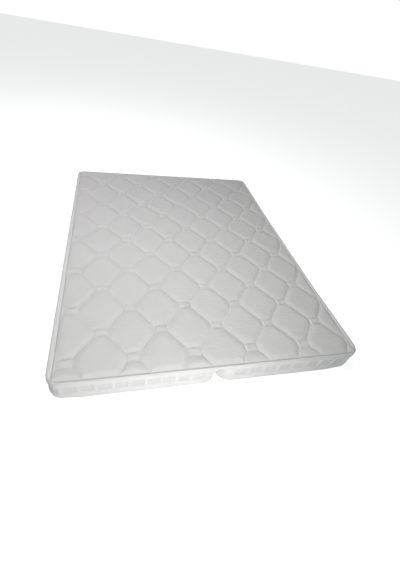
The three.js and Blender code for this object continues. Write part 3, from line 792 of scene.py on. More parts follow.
def swell(points, free, quilt):
    """Lets the cloth between its stitches swell and take small folds, by simulation.

    An open grid is pinned where it is sewn, has a little slack, and is lifted by pressure
    without gravity for some frames. Each point then moves by its free share of the result,
    no further than a limit. Returns the points as they come to lie.
    """
    frames, sewn_below = 20, 0.05
    scene = bpy.context.scene
    rows, columns = points.shape[:2]
    mesh = bpy.data.meshes.new("swelling")
    flat = points.reshape(-1, 3).astype(np.float32)
    mesh.from_pydata(flat, [], grid_faces(rows, columns))
    sheet = bpy.data.objects.new("swelling", mesh)
    scene.collection.objects.link(sheet)
    sewn = sheet.vertex_groups.new(name="sewn")
    sewn.add(np.flatnonzero(free.ravel() < sewn_below).tolist(), 1.0, "REPLACE")
    cloth = sheet.modifiers.new("cloth", "CLOTH")
    settings = cloth.settings
    settings.quality = 4
    settings.mass = 0.05
    settings.tension_stiffness = 15.0
    settings.compression_stiffness = 5.0
    settings.shear_stiffness = 5.0
    settings.bending_stiffness = 0.05
    settings.shrink_min = -quilt.slack
    settings.use_pressure = True
    settings.uniform_pressure_force = quilt.pressure
    settings.effector_weights.gravity = 0.0
    settings.vertex_group_mass = sewn.name
    cloth.collision_settings.use_collision = False
    cloth.point_cache.frame_start, cloth.point_cache.frame_end = 1, frames
    for step in range(1, frames + 1):
        scene.frame_set(step)
    shown = sheet.evaluated_get(bpy.context.evaluated_depsgraph_get())
    settled = np.empty(flat.size, np.float32)
    shown.data.vertices.foreach_get("co", settled)
    move = settled.reshape(-1, 3) - flat
    bpy.data.objects.remove(sheet)
    bpy.data.meshes.remove(mesh)
    scene.frame_set(1)
    far = np.linalg.norm(move, axis=1, keepdims=True)
    limit = quilt.swell_limit
    move = move * (limit * np.tanh(far / limit) / np.maximum(far, 1e-9))
    return points + (move * free.reshape(-1, 1)).reshape(points.shape)


def drift(x, y, terms):
    """How far the quilting has drifted at a place, by a curve of the second degree."""
    return sum(term * power for term, power in zip(terms, (1.0, x, y, x * y, x**2, y**2)))


def rounded_rise(part):
    """Rises from 0 to 1 along a rounded quarter, steep at first and then level."""
    return (1.0 - (1.0 - part) ** 2.2) ** 0.62


def front_roll(inside, rim, sizes, quilt):
    """The short sides' section: a rounded quarter from the rim up to just over the crowns."""
    top = sizes.height + 0.0015
    return rim + (top - rim) * rounded_rise(np.clip(inside / quilt.roll, 0.0, 1.0))


def strip_section(inside, rim, level, sizes, quilt):
    """The long sides' section: a plain strip that swells from its lip to a crown and sinks to
    a sewn line, and then the quilting, held down next to that line."""
    held_width, held_rise = 0.024, 0.0118
    sewn = sizes.height - quilt.puff_height + 0.0008
    crown, middle = sewn + quilt.strip_height, 0.46 * quilt.strip_width
    out = np.clip(1.0 - inside / middle, 0.0, 1.0)
    lip = rim + (crown - rim) * (1.0 - out**2.2) ** (1 / 2.2)
    down = np.clip((inside - middle) / (quilt.strip_width - middle), 0.0, 1.0)
    sink = sewn + (crown - sewn) * (1.0 - down**2.4)
    part = np.clip((inside - quilt.strip_width) / held_width, 0.0, 1.0)
    held = sewn + held_rise * rounded_rise(part)
    strip = np.where(inside < middle, lip, sink)
    return np.where(inside < quilt.strip_width, strip, soft_least([level, held], QUILT_BLEND))


def rim_height(over, sizes, band):
    """Height of the quilt's rim where it stands out over the edge roll: half a millimetre over
    the roll's upper side, a circle, and level past its middle."""
    reach = band.piping_radius + sizes.clearance
    part = np.maximum(reach - over, 0.0)
    middle = band.top + sizes.clearance + band.piping_radius
    return middle + 0.0005 + np.sqrt(np.maximum(reach**2 - part**2, 0.0))


def quilt_grid(sizes, quilt, half_x, half_y):
    """The top's grid over the width and length. Its lines follow the quilting, and lie closer
    at the rim, the strips and the fold. The outermost two all round stand on the rim, and
    near the corners they are fanned out a little, so that no two points fall together."""
    rim = np.array([0.0, 0.0004, 0.0012, 0.0026, 0.0048, 0.0078, 0.0115, 0.016, 0.021])
    strip = np.array([-0.0075, -0.0045, -0.0022, -0.0008, 0.0, 0.0008, 0.0022, 0.0045])
    gap, gap_cells, patch_rows = 0.0011, 16, 6
    columns = quilt_lines(
        -half_x,
        half_x,
        quilt.shift_across,
        quilt.pitch_across,
        quilt.patch_width,
        2 * quilt.rib_count,
        gap_cells,
    )
    rows = quilt_lines(
        -half_y,
        half_y,
        quilt.shift_along,
        quilt.pitch_along,
        quilt.patch_depth,
        patch_rows,
        gap_cells,
    )
    edge = np.concatenate([rim[:8], quilt.strip_width + strip])
    wanted = np.concatenate([edge - half_x, half_x - edge, fold_lines(sizes)])
    columns = np.pad(merge_lines(columns, wanted, gap), 2, mode="edge")
    wanted = np.concatenate([rim - half_y, half_y - rim])
    rows = np.pad(merge_lines(rows, wanted, gap), 2, mode="edge")
    grid_x, grid_y = np.meshgrid(columns, rows, indexing="ij")
    fan = np.array([0.00013, 0.00026])
    for grid in (grid_x.T, grid_y):
        for end in (grid[:2], grid[-2:]):
            end[:, 1:3] += fan
            end[:, -3:-1] -= fan[::-1]
    return grid_x, grid_y


def quilt_surface(sizes, quilt, band):
    """Points and flat coordinates of the quilted top, as a grid over the width and length.

    The short sides roll down to the seam, and each long side has a plain strip whose lip
    stands over the edge roll. Between them each point takes its height from the quilting.
    The grid's outermost two lines run back under the lip and down. Slow noise and a drift
    move the channels. Returns also how free each point is, from 0 where it is sewn to 1.
    """
    half_x = sizes.width / 2 - quilt.side_inset
    half_y = sizes.length / 2 - quilt.edge_inset
    radius, wide = sizes.corner - quilt.edge_inset, quilt.strip_width
    u, v = round_corners(*quilt_grid(sizes, quilt, half_x, half_y), half_x, half_y, radius)
    inside = np.maximum(edge_distance(u, v, half_x, half_y, radius), 0.0)

    hold = smooth(0.0, 0.09, inside)
    x = u + hold * (quilt.wander * clouds(u, v, 0.23, 0.31, 3) - drift(u, v, quilt.drift_across))
    y = v + hold * (quilt.wander * clouds(u, v, 0.29, 0.24, 5) - drift(u, v, quilt.drift_along))

    dx, dy = past_corner(u, v, half_x, half_y, radius)
    angle = np.arctan2(np.maximum(dy, 0.0), np.maximum(dx, 1e-9))
    angle = np.where((dx <= 0.0) & (dy > 0.0), math.pi / 2, angle)
    long_side = smooth(1.15, 0.35, angle)
    overhang = quilt.edge_inset - quilt.side_inset
    over = overhang * np.where(dx > 0.0, np.cos(angle), 0.0)
    rim_level = rim_height(over, sizes, band)

    relief, pad = quilt_relief(u, v, quilt)
    free = smooth(0.0006, 0.003, relief) * smooth(0.0, 0.012, inside) * (1.0 - 0.85 * pad)
    slack = clouds(u, v, 0.033, 0.019, 7) + 0.6 * clouds(u + 0.4 * v, v, 0.05, 0.014, 11)
    relief += smooth(0.0, 0.006, relief) * quilt.crease * slack
    relief *= 1.0 - 0.10 * (0.5 + 0.5 * clouds(u, v, 0.17, 0.15, 13))
    level = sizes.height - quilt.puff_height + relief
    short = soft_least([level, front_roll(inside, rim_level, sizes, quilt)], QUILT_BLEND)
    strip = strip_section(inside, rim_level, level, sizes, quilt)
    height = short + (strip - short) * long_side
    height = np.where(inside < 1e-6, rim_level, np.maximum(height, rim_level - 0.0006))

    to_sewn = np.abs(inside - wide)
    free = free * (1.0 - long_side * (inside < wide + 0.003)) + 0.6 * long_side * (
        smooth(0.0, 0.006, inside) * smooth(0.001, 0.006, to_sewn) * (inside < wide)
    )

    ring = lines_in(*height.shape)
    tucked = ring < 2
    x = np.where(tucked, u - np.sign(u) * overhang * smooth(0.70, half_x - radius, np.abs(u)), x)
    under = rim_level - 0.0001 - 0.0006 * (1.0 - smooth(0.0, 0.001, over))
    height = np.where(ring == 1, under, height)
    height = np.where(ring == 0, sizes.height - quilt.puff_height - quilt.backing, height)
    height = np.minimum(height, sizes.height)
    free = np.where(tucked, 0.0, free)
    return np.stack([x, y, height], axis=-1), np.stack([u, v], axis=-1), free


def closed_under(columns, rows):
    """Faces of a grid and of the flat side that closes it from below: strips from the front
    rim to the back rim, and one face of many sides at each end."""
    top = grid_faces(columns, rows)
    i = np.arange(1, columns - 2)
    front, back = i * rows, i * rows + rows - 1
    strips = np.stack([front, front + rows, back + rows, back], axis=1)
    near = np.concatenate([[rows], np.arange(rows), [2 * rows - 1]])
    last = (columns - 1) * rows
    far = np.concatenate([[last - rows], last + np.arange(rows), [last - 1]])[::-1]
    ends = np.stack([near, far])
    return [top, strips[:, ::-1], ends]


class MATTRESS_OT_quilted_top(bpy.types.Operator):
    """Make the quilted top that runs over both halves"""

    bl_idname = "mattress.quilted_top"
    bl_label = "Quilted Top"

    def execute(self, context):
        scene = context.scene
        sizes, quilt, band = scene.mattress_sizes, scene.mattress_quilt, scene.mattress_band
        points, flat, free = quilt_surface(sizes, quilt, band)
        grid, ceiling, round_off = np.s_[2:-2, 2:-2], sizes.height + 0.0003, 0.0004
        points[grid] = swell(points[grid], free[grid], quilt)
        points[..., 2] = soft_least([points[..., 2], ceiling], round_off)
        faces = closed_under(*points.shape[:2])
        cloth = quilt_cloth(scene.mattress_finishes, sizes, quilt)
        top = make_piece("quilted_top", points, faces, cloth, flat)
        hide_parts("left_top_panel", "right_top_panel")
        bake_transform(top)
        return {"FINISHED"}


# Side band


def notch_radius(side, band):
    """Radius with which the left or the right half turns in at the fold."""
    return band.left_notch if side < 0 else band.right_notch


def band_turn(height, side, band):
    """Share by which a level of the band turns into the notch: all of it up to the lower
    stitch line, then one less a power of the way up to the top seam."""
    way = np.clip((height - band.lower_stitch) / (band.top - band.lower_stitch), 0.0, 1.0)
    return 1.0 - way ** (band.left_turn if side < 0 else band.right_turn)


def band_marks(sizes, band, radius):
    """Lengths along half the band at its marks, and the number of blocks up to each.

    The marks are the end of the notch, both ends of the corner and the middle of the side.
    The front and the side are shared out in whole blocks, and the corner is one block.
    """
    front = sizes.width / 2 - sizes.corner - sizes.clearance
    bend = sizes.corner * math.pi / 2
    side = sizes.length / 2 - sizes.corner
    front_blocks = round((front - radius) / band.block_pitch)
    side_blocks = round(2 * side / band.block_pitch) / 2
    marks = np.array([radius, front, front + bend, front + bend + side])
    return marks, np.array([0.0, front_blocks, front_blocks + 1, front_blocks + 1 + side_blocks])


def band_path(run, marks, sizes, radius):
    """The band's plan from the fold round to the fold again, for lengths along it.

    Returns place, facing, turn into the notch, and -1 where it is mirrored. The path is a
    straight front, a quarter circle and half a side, and the rest is its mirror image.
    """
    _, front, bent, middle = marks
    near = np.minimum(run, 2 * middle - run)
    facing = np.clip((near - front) / sizes.corner, 0.0, math.pi / 2)
    x = sizes.clearance + np.minimum(near, front) + sizes.corner * np.sin(facing)
    y = np.maximum(near - bent, 0.0) - sizes.length / 2 + sizes.corner * (1.0 - np.cos(facing))
    sine = np.clip((sizes.clearance + radius - x) / radius, 0.0, 1.0)
    turn = np.where(near < radius, np.arcsin(sine), 0.0)
    return x, y, facing, turn, np.where(run > middle, -1.0, 1.0)


def band_inset(number, height, bent, zipped, band, zips):
    """How deep the band's outer side lies, for a place in blocks and a height.

    Bent is 1 at a corner, where the foot is rounder and draws in higher up, and 0 elsewhere.
    The lower margin rises from the foot as a rounded quarter and sinks to its stitch line, and
    the upper margin is one crown. Each block between them is a shallow dish, whose slopes
    start at the stitch lines and at the strips that part the blocks.
    """
    low, high = band.lower_stitch, band.upper_stitch
    full, seam = band.margin_inset, band.seam_inset
    crown = band.lower_crown * (1.0 + 0.9 * bent)
    square = 4.2 - 2.2 * bent
    stitch_slope, pillow_run, pillow_rise, least = 0.004, 0.035, 0.03, 0.0004
    foot = np.clip((crown - height) / (crown - band.foot), 0.0, 1.0)
    curl = band.thickness - (band.thickness - full) * (1.0 - foot**square) ** (1 / square)
    rest = np.clip((height - crown) / (low - crown), 0.0, 1.0)
    lower = full + (band.stitch_inset - full) * rest**4
    lower = np.where(height < crown, curl, lower)
    way = np.clip((height - high) / (band.top - high), 0.0, 1.0)
    upper = full + (band.stitch_inset - full) * (1.0 - way) ** 6 + (seam - full) * way**4
    off = np.abs(number - np.round(number)) * band.block_pitch - band.strip_width / 2
    to_line = np.minimum(height - low, high - height)
    wide = smooth(0.0, band.block_slope, off)
    tall = smooth(0.0, band.block_slope, to_line)
    line = band.stitch_inset * (1.0 - smooth(0.0, stitch_slope, to_line)) * (0.4 + 0.6 * wide)
    pillow = np.clip(off / pillow_run, 0.0, 1.0) * np.clip(to_line / pillow_rise, 0.0, 1.0)
    dish = wide * tall * band.block_depth * (1.0 - 0.35 * pillow) * (number > 0.0)
    block = np.maximum(line, 0.0) + least + dish
    inset = np.where(height < low, lower, np.where(height > high, upper, block))
    pressed = np.where(height < low, np.maximum(inset, zips.face_inset), inset)
    return inset + (pressed - inset) * zipped


def band_levels(band):
    """Heights of the band's lines, up its outer side and down its inner one."""
    lines, inner_lines = 9, 6
    foot = np.sin(np.linspace(math.pi / 2, 0.0, lines))
    slope = np.array([0.0012, 0.0024, 0.0038, 0.0054, 0.0075, 0.0105, 0.0145, 0.0195, 0.0245])
    outer = np.concatenate(
        [
            band.lower_crown - (band.lower_crown - band.foot) * foot,
            np.linspace(band.lower_crown, band.lower_stitch, lines)[1:],
            band.lower_stitch + slope,
            [(band.lower_stitch + band.upper_stitch) / 2],
            band.upper_stitch - slope[::-1],
            np.linspace(band.upper_stitch, band.top, lines),
        ]
    )
    return outer, np.linspace(band.top, band.lower_stitch, inner_lines)


def zip_flat(x, mirrored, band, zips):
    """Share by which the back of the band is pressed flat for the zip. It fades out within
    half a block past each end."""
    reach, hold = band.block_pitch / 2, 0.012
    flat = smooth(zips.start - reach, zips.start - hold, x) * (mirrored < 0.0)
    return flat * smooth(zips.end + reach, zips.end + hold, x)


def band_surface(side, radius, sizes, band, zips):
    """Points and flat coordinates of one half's band: its section, up the outer side and
    down the inner one, carried along the plan path."""
    marks, numbers = band_marks(sizes, band, radius)
    strip, apart = 2.4 * band.strip_width / band.block_pitch, 0.01
    strip_cells, block_cells, turn_lines = 8, 11, 22
    number = quilt_lines(apart, numbers[-1] - apart, 0.0, 1.0, strip, strip_cells, block_cells)
    turn = np.linspace(math.pi / 2, 0.0, turn_lines)
    half = np.concatenate([radius - radius * np.sin(turn), np.interp(number, numbers, marks)])
    run = np.concatenate([half, [marks[-1]], 2 * marks[-1] - half[::-1]])
    outer, inner = band_levels(band)
    level = np.concatenate([outer, inner])[None, :]
    x, y, facing, turn, mirrored = (
        part[:, None] for part in band_path(run, marks, sizes, radius)
    )
    near = np.minimum(run, 2 * marks[-1] - run)
    before = (near - radius) / band.block_pitch
    number = np.where(near < radius, before, np.interp(near, marks, numbers))[:, None]
    share = band_turn(level, side, band) * (turn > 0.0)
    out_x = np.sin(facing) * (1.0 - share) - share * np.sin(turn)
    out_y = -np.cos(facing) * (1.0 - share) - share * np.cos(turn)
    size = np.hypot(out_x, out_y)
    drawn = share * radius * (1.0 - np.cos(turn))
    zipped = zip_flat(x, mirrored, band, zips)
    from_corner = np.abs(near - (marks[1] + marks[2]) / 2)[:, None]
    bent = smooth(0.16, 0.05, from_corner)
    inset = band_inset(number, level, bent, zipped, band, zips)
    pace = run[:, None]
    slack = clouds(pace, level, 0.027, 0.016, 17) + 0.7 * clouds(pace, level, 0.06, 0.05, 19)
    crease = band.crease * (1.0 + 0.5 * slack) * smooth(band.foot, 0.02, level)
    crease = crease * smooth(band.top, band.top - 0.008, level) * (1.0 - zipped)
    inset = inset + crease * smooth(0.0, 0.02, np.broadcast_to(near[:, None], inset.shape))
    is_inner = np.arange(level.shape[1])[None, :] >= len(outer)
    inset = np.where(is_inner, band.thickness, inset)
    place_x = x - out_x / size * inset
    place_y = (y + drawn - out_y / size * inset) * mirrored
    place_z = np.broadcast_to(level, place_x.shape)
    points = np.stack([side * place_x, place_y, place_z], axis=-1)
    rise = np.where(is_inner, 2 * band.top - level, level)
    flat = np.stack(np.broadcast_arrays(number * band.block_pitch, rise), axis=-1)
    return points, flat


class MATTRESS_OT_side_bands(bpy.types.Operator):
    """Make the quilted side band of each half"""

    bl_idname = "mattress.side_bands"
    bl_label = "Side Bands"

    def execute(self, context):
        scene = context.scene
        sizes, band, zips = scene.mattress_sizes, scene.mattress_band, scene.mattress_zips
        cloth = band_cloth(scene.mattress_finishes, band)
        for prefix, side in SIDES:
            radius = notch_radius(side, band)
            points, flat = band_surface(side, radius, sizes, band, zips)
            shape = points.shape[:2]
            faces = [grid_faces(*shape, wrap=True), end_faces(*shape)[:, ::-1]]
            piece = make_piece(f"{prefix}_band", points, faces, cloth, flat)
            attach(piece, f"{prefix}_half")
            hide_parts(f"{prefix}_border")
        return {"FINISHED"}


# Edge roll


def loop_path(half_x, half_y, radius, step, bend):
    """A rounded rectangle walked once round at even steps, with close steps near the fold.

    Returns places and outward directions, from straights and quarter circles in turn.
    """
    wide, long = 2 * (half_x - radius), 2 * (half_y - radius)
    arc = radius * math.pi / 2
    marks = np.cumsum([0.0, wide, arc, long, arc, wide, arc, long, arc])
    run = np.linspace(0.0, marks[-1], int(marks[-1] / step), endpoint=False)
    folds = np.array([wide / 2, marks[4] + wide / 2])
    run = merge_lines(run, (folds[:, None] + bend[None, :]).ravel(), 0.0008)
    leg = np.searchsorted(marks, run, side="right") - 1
    past = run - marks[leg]
    quarter, on_arc = leg // 2, leg % 2 == 1
    angle = quarter * math.pi / 2 + np.where(on_arc, past / radius, 0.0)
    cx = (half_x - radius) * np.array([1.0, 1.0, -1.0, -1.0])[quarter]
    cy = (half_y - radius) * np.array([-1.0, 1.0, 1.0, -1.0])[quarter]
    straight = np.where(quarter % 2 == 0, wide, long)
    back = np.where(on_arc, 0.0, straight - past)
    x = cx + radius * np.sin(angle) - back * np.cos(angle)
    y = cy - radius * np.cos(angle) - back * np.sin(angle)
    return run, x, y, np.sin(angle), -np.cos(angle)


class MATTRESS_OT_edge_roll(bpy.types.Operator):
    """Make the edge roll that runs round the top seam of both halves"""

    bl_idname = "mattress.edge_roll"
    bl_label = "Edge Roll"

    def execute(self, context):
        """A circle carried along the seam, a little fuller and thinner from place to place."""
        scene = context.scene
        sizes, band = scene.mattress_sizes, scene.mattress_band
        inset, radius = band.piping_inset, band.piping_radius
        step, sides = 0.0065, 14
        run, x, y, out_x, out_y = loop_path(
            sizes.width / 2 - inset,
            sizes.length / 2 - inset,
            sizes.corner - inset,
            step,
            fold_lines(sizes),
        )
        angle = np.linspace(0.0, 2 * math.pi, sides, endpoint=False)[None, :]
        fuller = 1.0 + 0.05 * clouds(run[:, None], angle * radius, 0.03, 0.01, 23)
        across, up = radius * fuller * np.cos(angle), radius * fuller * np.sin(angle)
        across, up = np.minimum(across, radius), np.maximum(up, -radius)
        level = band.top + sizes.clearance + radius
        points = np.stack(
            [
                x[:, None] + out_x[:, None] * across,
                y[:, None] + out_y[:, None] * across,
                level + up,
            ],
            axis=-1,
        )
        flat = np.stack(np.broadcast_arrays(run[:, None], angle * radius), axis=-1)
        count = len(run)
        faces = grid_faces(count + 1, sides, wrap=True) % (count * sides)
        cloth = plain_cloth("piping_cloth", scene.mattress_finishes.piping, 0.0009)
        piece = make_piece("edge_roll", points, [faces], cloth, flat)
        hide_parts("left_top_piping", "right_top_piping")
        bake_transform(piece)
        return {"FINISHED"}


# Plain cloth at the fold and underneath


def foam_levels(sizes, quilt):
    """Lowest and highest level of the foam, over the underside and under the quilt's back."""
    ceiling = sizes.height - quilt.puff_height - quilt.backing - sizes.clearance
    return sizes.bottom_cloth + sizes.clearance, ceiling


def two_sided(front, back, flat):
    """Points, flat coordinates and faces of a thin cloth from the grids of its two sides."""
    rows, columns = front.shape[:2]
    count = rows * columns
    points = np.concatenate([front.reshape(-1, 3), back.reshape(-1, 3)])
    index = np.arange(count).reshape(rows, columns)
    rim = np.concatenate([index[:-1, 0], index[-1, :-1], index[:0:-1, -1], index[0, :0:-1]])
    after = np.roll(rim, -1)
    walls = np.stack([rim, after, after + count, rim + count], axis=1)
    faces = grid_faces(rows, columns)
    sheets = np.concatenate([faces[:, ::-1], faces + count, walls])
    return points, np.concatenate([flat.reshape(-1, 2)] * 2), [sheets]


class MATTRESS_OT_fold_sides(bpy.types.Operator):
    """Make the plain cloth that closes each half at the fold"""

    bl_idname = "mattress.fold_sides"
    bl_label = "Fold Sides"

    def execute(self, context):
        """A flat cloth whose ends follow the turned-in band, with shallow slack waves."""
        scene = context.scene
        sizes, band, quilt = scene.mattress_sizes, scene.mattress_band, scene.mattress_quilt
        cloth = plain_cloth("fold_cloth", scene.mattress_finishes.wall, 0.003)
        columns, rows, quiet, wave, inlay = 330, 25, 0.02, 0.0004, 0.0011
        base, ceiling = foam_levels(sizes, quilt)
        share = np.linspace(-1.0, 1.0, columns)[:, None]
        up = np.linspace(base, ceiling, rows)[None, :]
        for prefix, side in SIDES:
            radius = notch_radius(side, band)
            turn = band_turn(up, side, band)
            straight = 1.0 - turn
            across = band.thickness * straight / np.hypot(turn, straight)
            lean = sizes.wall_cloth * straight / np.maximum(turn, 1e-6)
            end = sizes.length / 2 - turn * radius - sizes.clearance - np.minimum(across, lean)
            along = share * end
            slack = clouds(along, up, 0.13, 0.05, 29) + 0.6 * clouds(along, up, 0.05, 0.03, 31)
            free = smooth(0.0, quiet, up - base) * smooth(0.0, quiet, ceiling - up)
            bulge = 0.0005 + wave * free * (1.0 + 0.5 * slack)
            outer = sizes.clearance + inlay - bulge
            inner = sizes.clearance + sizes.wall_cloth
            height = np.broadcast_to(up, along.shape)
            front = np.stack([side * outer, along, height], axis=-1)
            back = np.stack([np.full_like(along, side * inner), along, height], axis=-1)
            flat = np.stack([along, height], axis=-1)
            points, flat, faces = two_sided(front, back, flat)
            piece = make_piece(f"{prefix}_fold_side", points, faces, cloth, flat)
            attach(piece, f"{prefix}_half")
            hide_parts(f"{prefix}_inner_wall")
        return {"FINISHED"}


def half_outline_depth(x, near, far, fold_end, fold_radius, notch_end, corner_radius, end):
    """Half the length of a half's plan at each distance from the fold: a step and a quarter
    circle at the notch, then straight, then a quarter circle at the outer corner."""
    notch = notch_end + np.sqrt(np.maximum(fold_radius**2 - (near - x) ** 2, 0.0))
    notch = np.where(x < near - fold_radius, fold_end, notch)
    outer = end + np.sqrt(np.maximum(corner_radius**2 - np.maximum(x - far, 0.0) ** 2, 0.0))
    return np.where(x < near, np.minimum(notch, outer), outer)


class MATTRESS_OT_undersides(bpy.types.Operator):
    """Make the plain underside of each half"""

    bl_idname = "mattress.undersides"
    bl_label = "Undersides"

    def execute(self, context):
        """A flat cloth on the floor, cut to the band's foot, its columns as long as the plan
        is there, with low creases on its hidden side."""
        scene = context.scene
        sizes, band = scene.mattress_sizes, scene.mattress_band
        finishes = scene.mattress_finishes
        cloth = plain_cloth("underside_cloth", finishes.underside, 0.0016, 0.0022, 0.0022)
        arc_lines, notch_lines, middle_lines, rows, crease = 16, 3, 70, 160, 0.0003
        fill = band.thickness + sizes.clearance
        corner = sizes.corner - fill
        far, end = sizes.width / 2 - sizes.corner, sizes.length / 2 - sizes.corner
        for prefix, side in SIDES:
            radius = notch_radius(side, band)
            near, notch_end = sizes.clearance + radius, sizes.length / 2 - radius
            quarter = np.sin(np.linspace(0.0, math.pi / 2, arc_lines))
            inner = radius - fill
            across = np.concatenate(
                [
                    np.linspace(sizes.clearance, near - inner, notch_lines)[:-1],
                    near - inner * quarter[::-1],
                    np.linspace(near, far, middle_lines)[1:-1],
                    far + corner * quarter,
                ]
            )
            depth = half_outline_depth(
                across, near, far, notch_end - sizes.clearance, inner, notch_end, corner, end
            )
            share = np.linspace(-1.0, 1.0, rows)[None, :]
            along = depth[:, None] * share
            x = np.broadcast_to(across[:, None], along.shape)
            ripple = crease * (1.0 + clouds(x, along, 0.06, 0.09, 37))
            low = np.stack([side * x, along, ripple * 0.3], axis=-1)
            high = np.stack([side * x, along, sizes.bottom_cloth - ripple], axis=-1)
            points, flat, faces = two_sided(low, high, np.stack([x, along], axis=-1))
            piece = make_piece(f"{prefix}_underside", points, faces, cloth, flat)
            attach(piece, f"{prefix}_half")
            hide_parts(f"{prefix}_bottom_panel")
        return {"FINISHED"}


# Foam


def foam_block(name, side, radius, base, top, sizes, band, material):
    """A foam slab whose edges are rounded over: its plan outline, set in by a quarter circle
    near the lower and the upper face. The outline is four arcs and a long outer side."""
    fill = band.thickness + sizes.clearance
    wall = 2 * sizes.clearance + sizes.wall_cloth
    reach, depth = fill + sizes.clearance - wall, radius - fill
    fold = reach + depth + math.sqrt(2 * reach * depth)
    corner = sizes.corner - fill
    arc_lines, side_lines, edge_lines, softness = 12, 48, 6, 0.006
    step = np.linspace(0.0, math.pi / 2, arc_lines)
    near, far = wall + fold, sizes.width / 2 - sizes.corner
    end, fold_end = sizes.length / 2 - sizes.corner, sizes.length / 2 - fill - fold
    arcs = [
        (near, -fold_end, fold, math.pi),
        (far, -end, corner, math.pi * 1.5),
        (far, end, corner, 0.0),
        (near, fold_end, fold, math.pi / 2),
    ]
    spans = [np.tile([[x, y, r, start]], (arc_lines, 1)) for x, y, r, start in arcs]
    for span in spans:
        span[:, 3] += step
    long_side = np.tile([[far, 0.0, corner, 0.0]], (side_lines, 1))
    long_side[:, 1] = np.linspace(-end, end, side_lines + 2)[1:-1]
    centre_x, centre_y, bend_radius, angle = np.concatenate(spans[:2] + [long_side] + spans[2:]).T
    edge = min(softness, (top - base) / 4)
    bend = np.linspace(0.0, math.pi / 2, edge_lines)
    draw, rise = edge * (1 - np.sin(bend)), edge * (1 - np.cos(bend))
    inset = np.concatenate([draw, draw[::-1]])
    level = np.concatenate([base + rise, top - rise[::-1]])
    size = bend_radius[None, :] - inset[:, None]
    x = side * (centre_x[None, :] + size * np.cos(angle)[None, :])
    y = centre_y[None, :] + size * np.sin(angle)[None, :]
    z = np.broadcast_to(level[:, None], x.shape)
    points = np.stack([x, y, z], axis=-1)
    faces = [grid_faces(*x.shape, wrap=True)[:, ::-1], end_faces(*x.shape)]
    return make_piece(name, points, faces, material, crease=60.0)


class MATTRESS_OT_foam(bpy.types.Operator):
    """Make the foam core and the comfort layer of each half"""

    bl_idname = "mattress.foam"
    bl_label = "Foam"

    def execute(self, context):
        scene = context.scene
        sizes, band, quilt = scene.mattress_sizes, scene.mattress_band, scene.mattress_quilt
        finishes = scene.mattress_finishes
        firm = foam_finish("firm_foam", finishes.foam, 0.0016)
        soft = foam_finish("soft_foam", finishes.soft_foam, 0.0012)
        base, ceiling = foam_levels(sizes, quilt)
        middle = ceiling - sizes.comfort
        layers = (
            ("foam", "foam_core", base, middle - sizes.clearance, firm, "foam"),
            ("comfort", "comfort_layer", middle, ceiling, soft, "soft_foam"),
        )
        for prefix, side in SIDES:
            radius = notch_radius(side, band)
            for name, node, low, high, material, slot in layers:
                piece = foam_block(
                    f"{prefix}_{name}", side, radius, low, high, sizes, band, material
                )
                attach(piece, f"{prefix}_half")
                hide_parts(f"{prefix}_{node}")
        return {"FINISHED"}


# Zips


def zip_tape(side, sizes, zips):
    """The woven tape as two grids, its outer face in shallow waves along its length."""
    columns, rows, wave_height = 301, 15, 0.00015
    back = sizes.length / 2 - zips.face_inset + sizes.clearance
    across = np.linspace(zips.start, zips.end, columns)[:, None]
    up = np.linspace(-0.5, 0.5, rows)[None, :] * zips.tape_width
    across, up = np.broadcast_arrays(across, up)
    wave = clouds(across, up, 0.02, 0.02, 41) * smooth(0.004, 0.012, np.abs(up))
    outer = back + zips.tape_thickness + wave_height * wave
    front = np.stack([side * across, outer, zips.height + up], axis=-1)
    inner = np.stack([side * across, np.full_like(across, back), zips.height + up], axis=-1)
    return two_sided(front, inner, np.stack([across, up], axis=-1))


def coil_stops(side, face, zips):
    """Points and faces of both end stops: blocks of three rings of four points, each upright
    to its shoulder and drawn in from there to its top."""
    length, wide, high = zips.stop_length / 2, zips.stop_width / 2, zips.stop_height
    shoulder = high * 0.7
    signs = np.array([[-1, 0, -1], [1, 0, -1], [1, 0, 1], [-1, 0, 1]], float)
    lower = signs * np.array([length, 0.0, wide])
    upper = signs * np.array([length * 0.7, 0.0, wide * 0.86]) + np.array([0.0, high, 0.0])
    stop = np.concatenate([lower, lower + np.array([0.0, shoulder, 0.0]), upper])
    middles = np.array([[x, face, zips.height] for x in (zips.start + length, zips.end - length)])
    stops = middles[:, None, :] + stop[None]
    stops[..., 0] *= side
    block = np.concatenate([grid_faces(3, 4, wrap=True), end_faces(3, 4)[:, ::-1]])
    faces = block[None] + np.array([0, len(stop)])[:, None, None]
    return stops.reshape(-1, 3), faces.reshape(-1, 4)[:, ::-1]


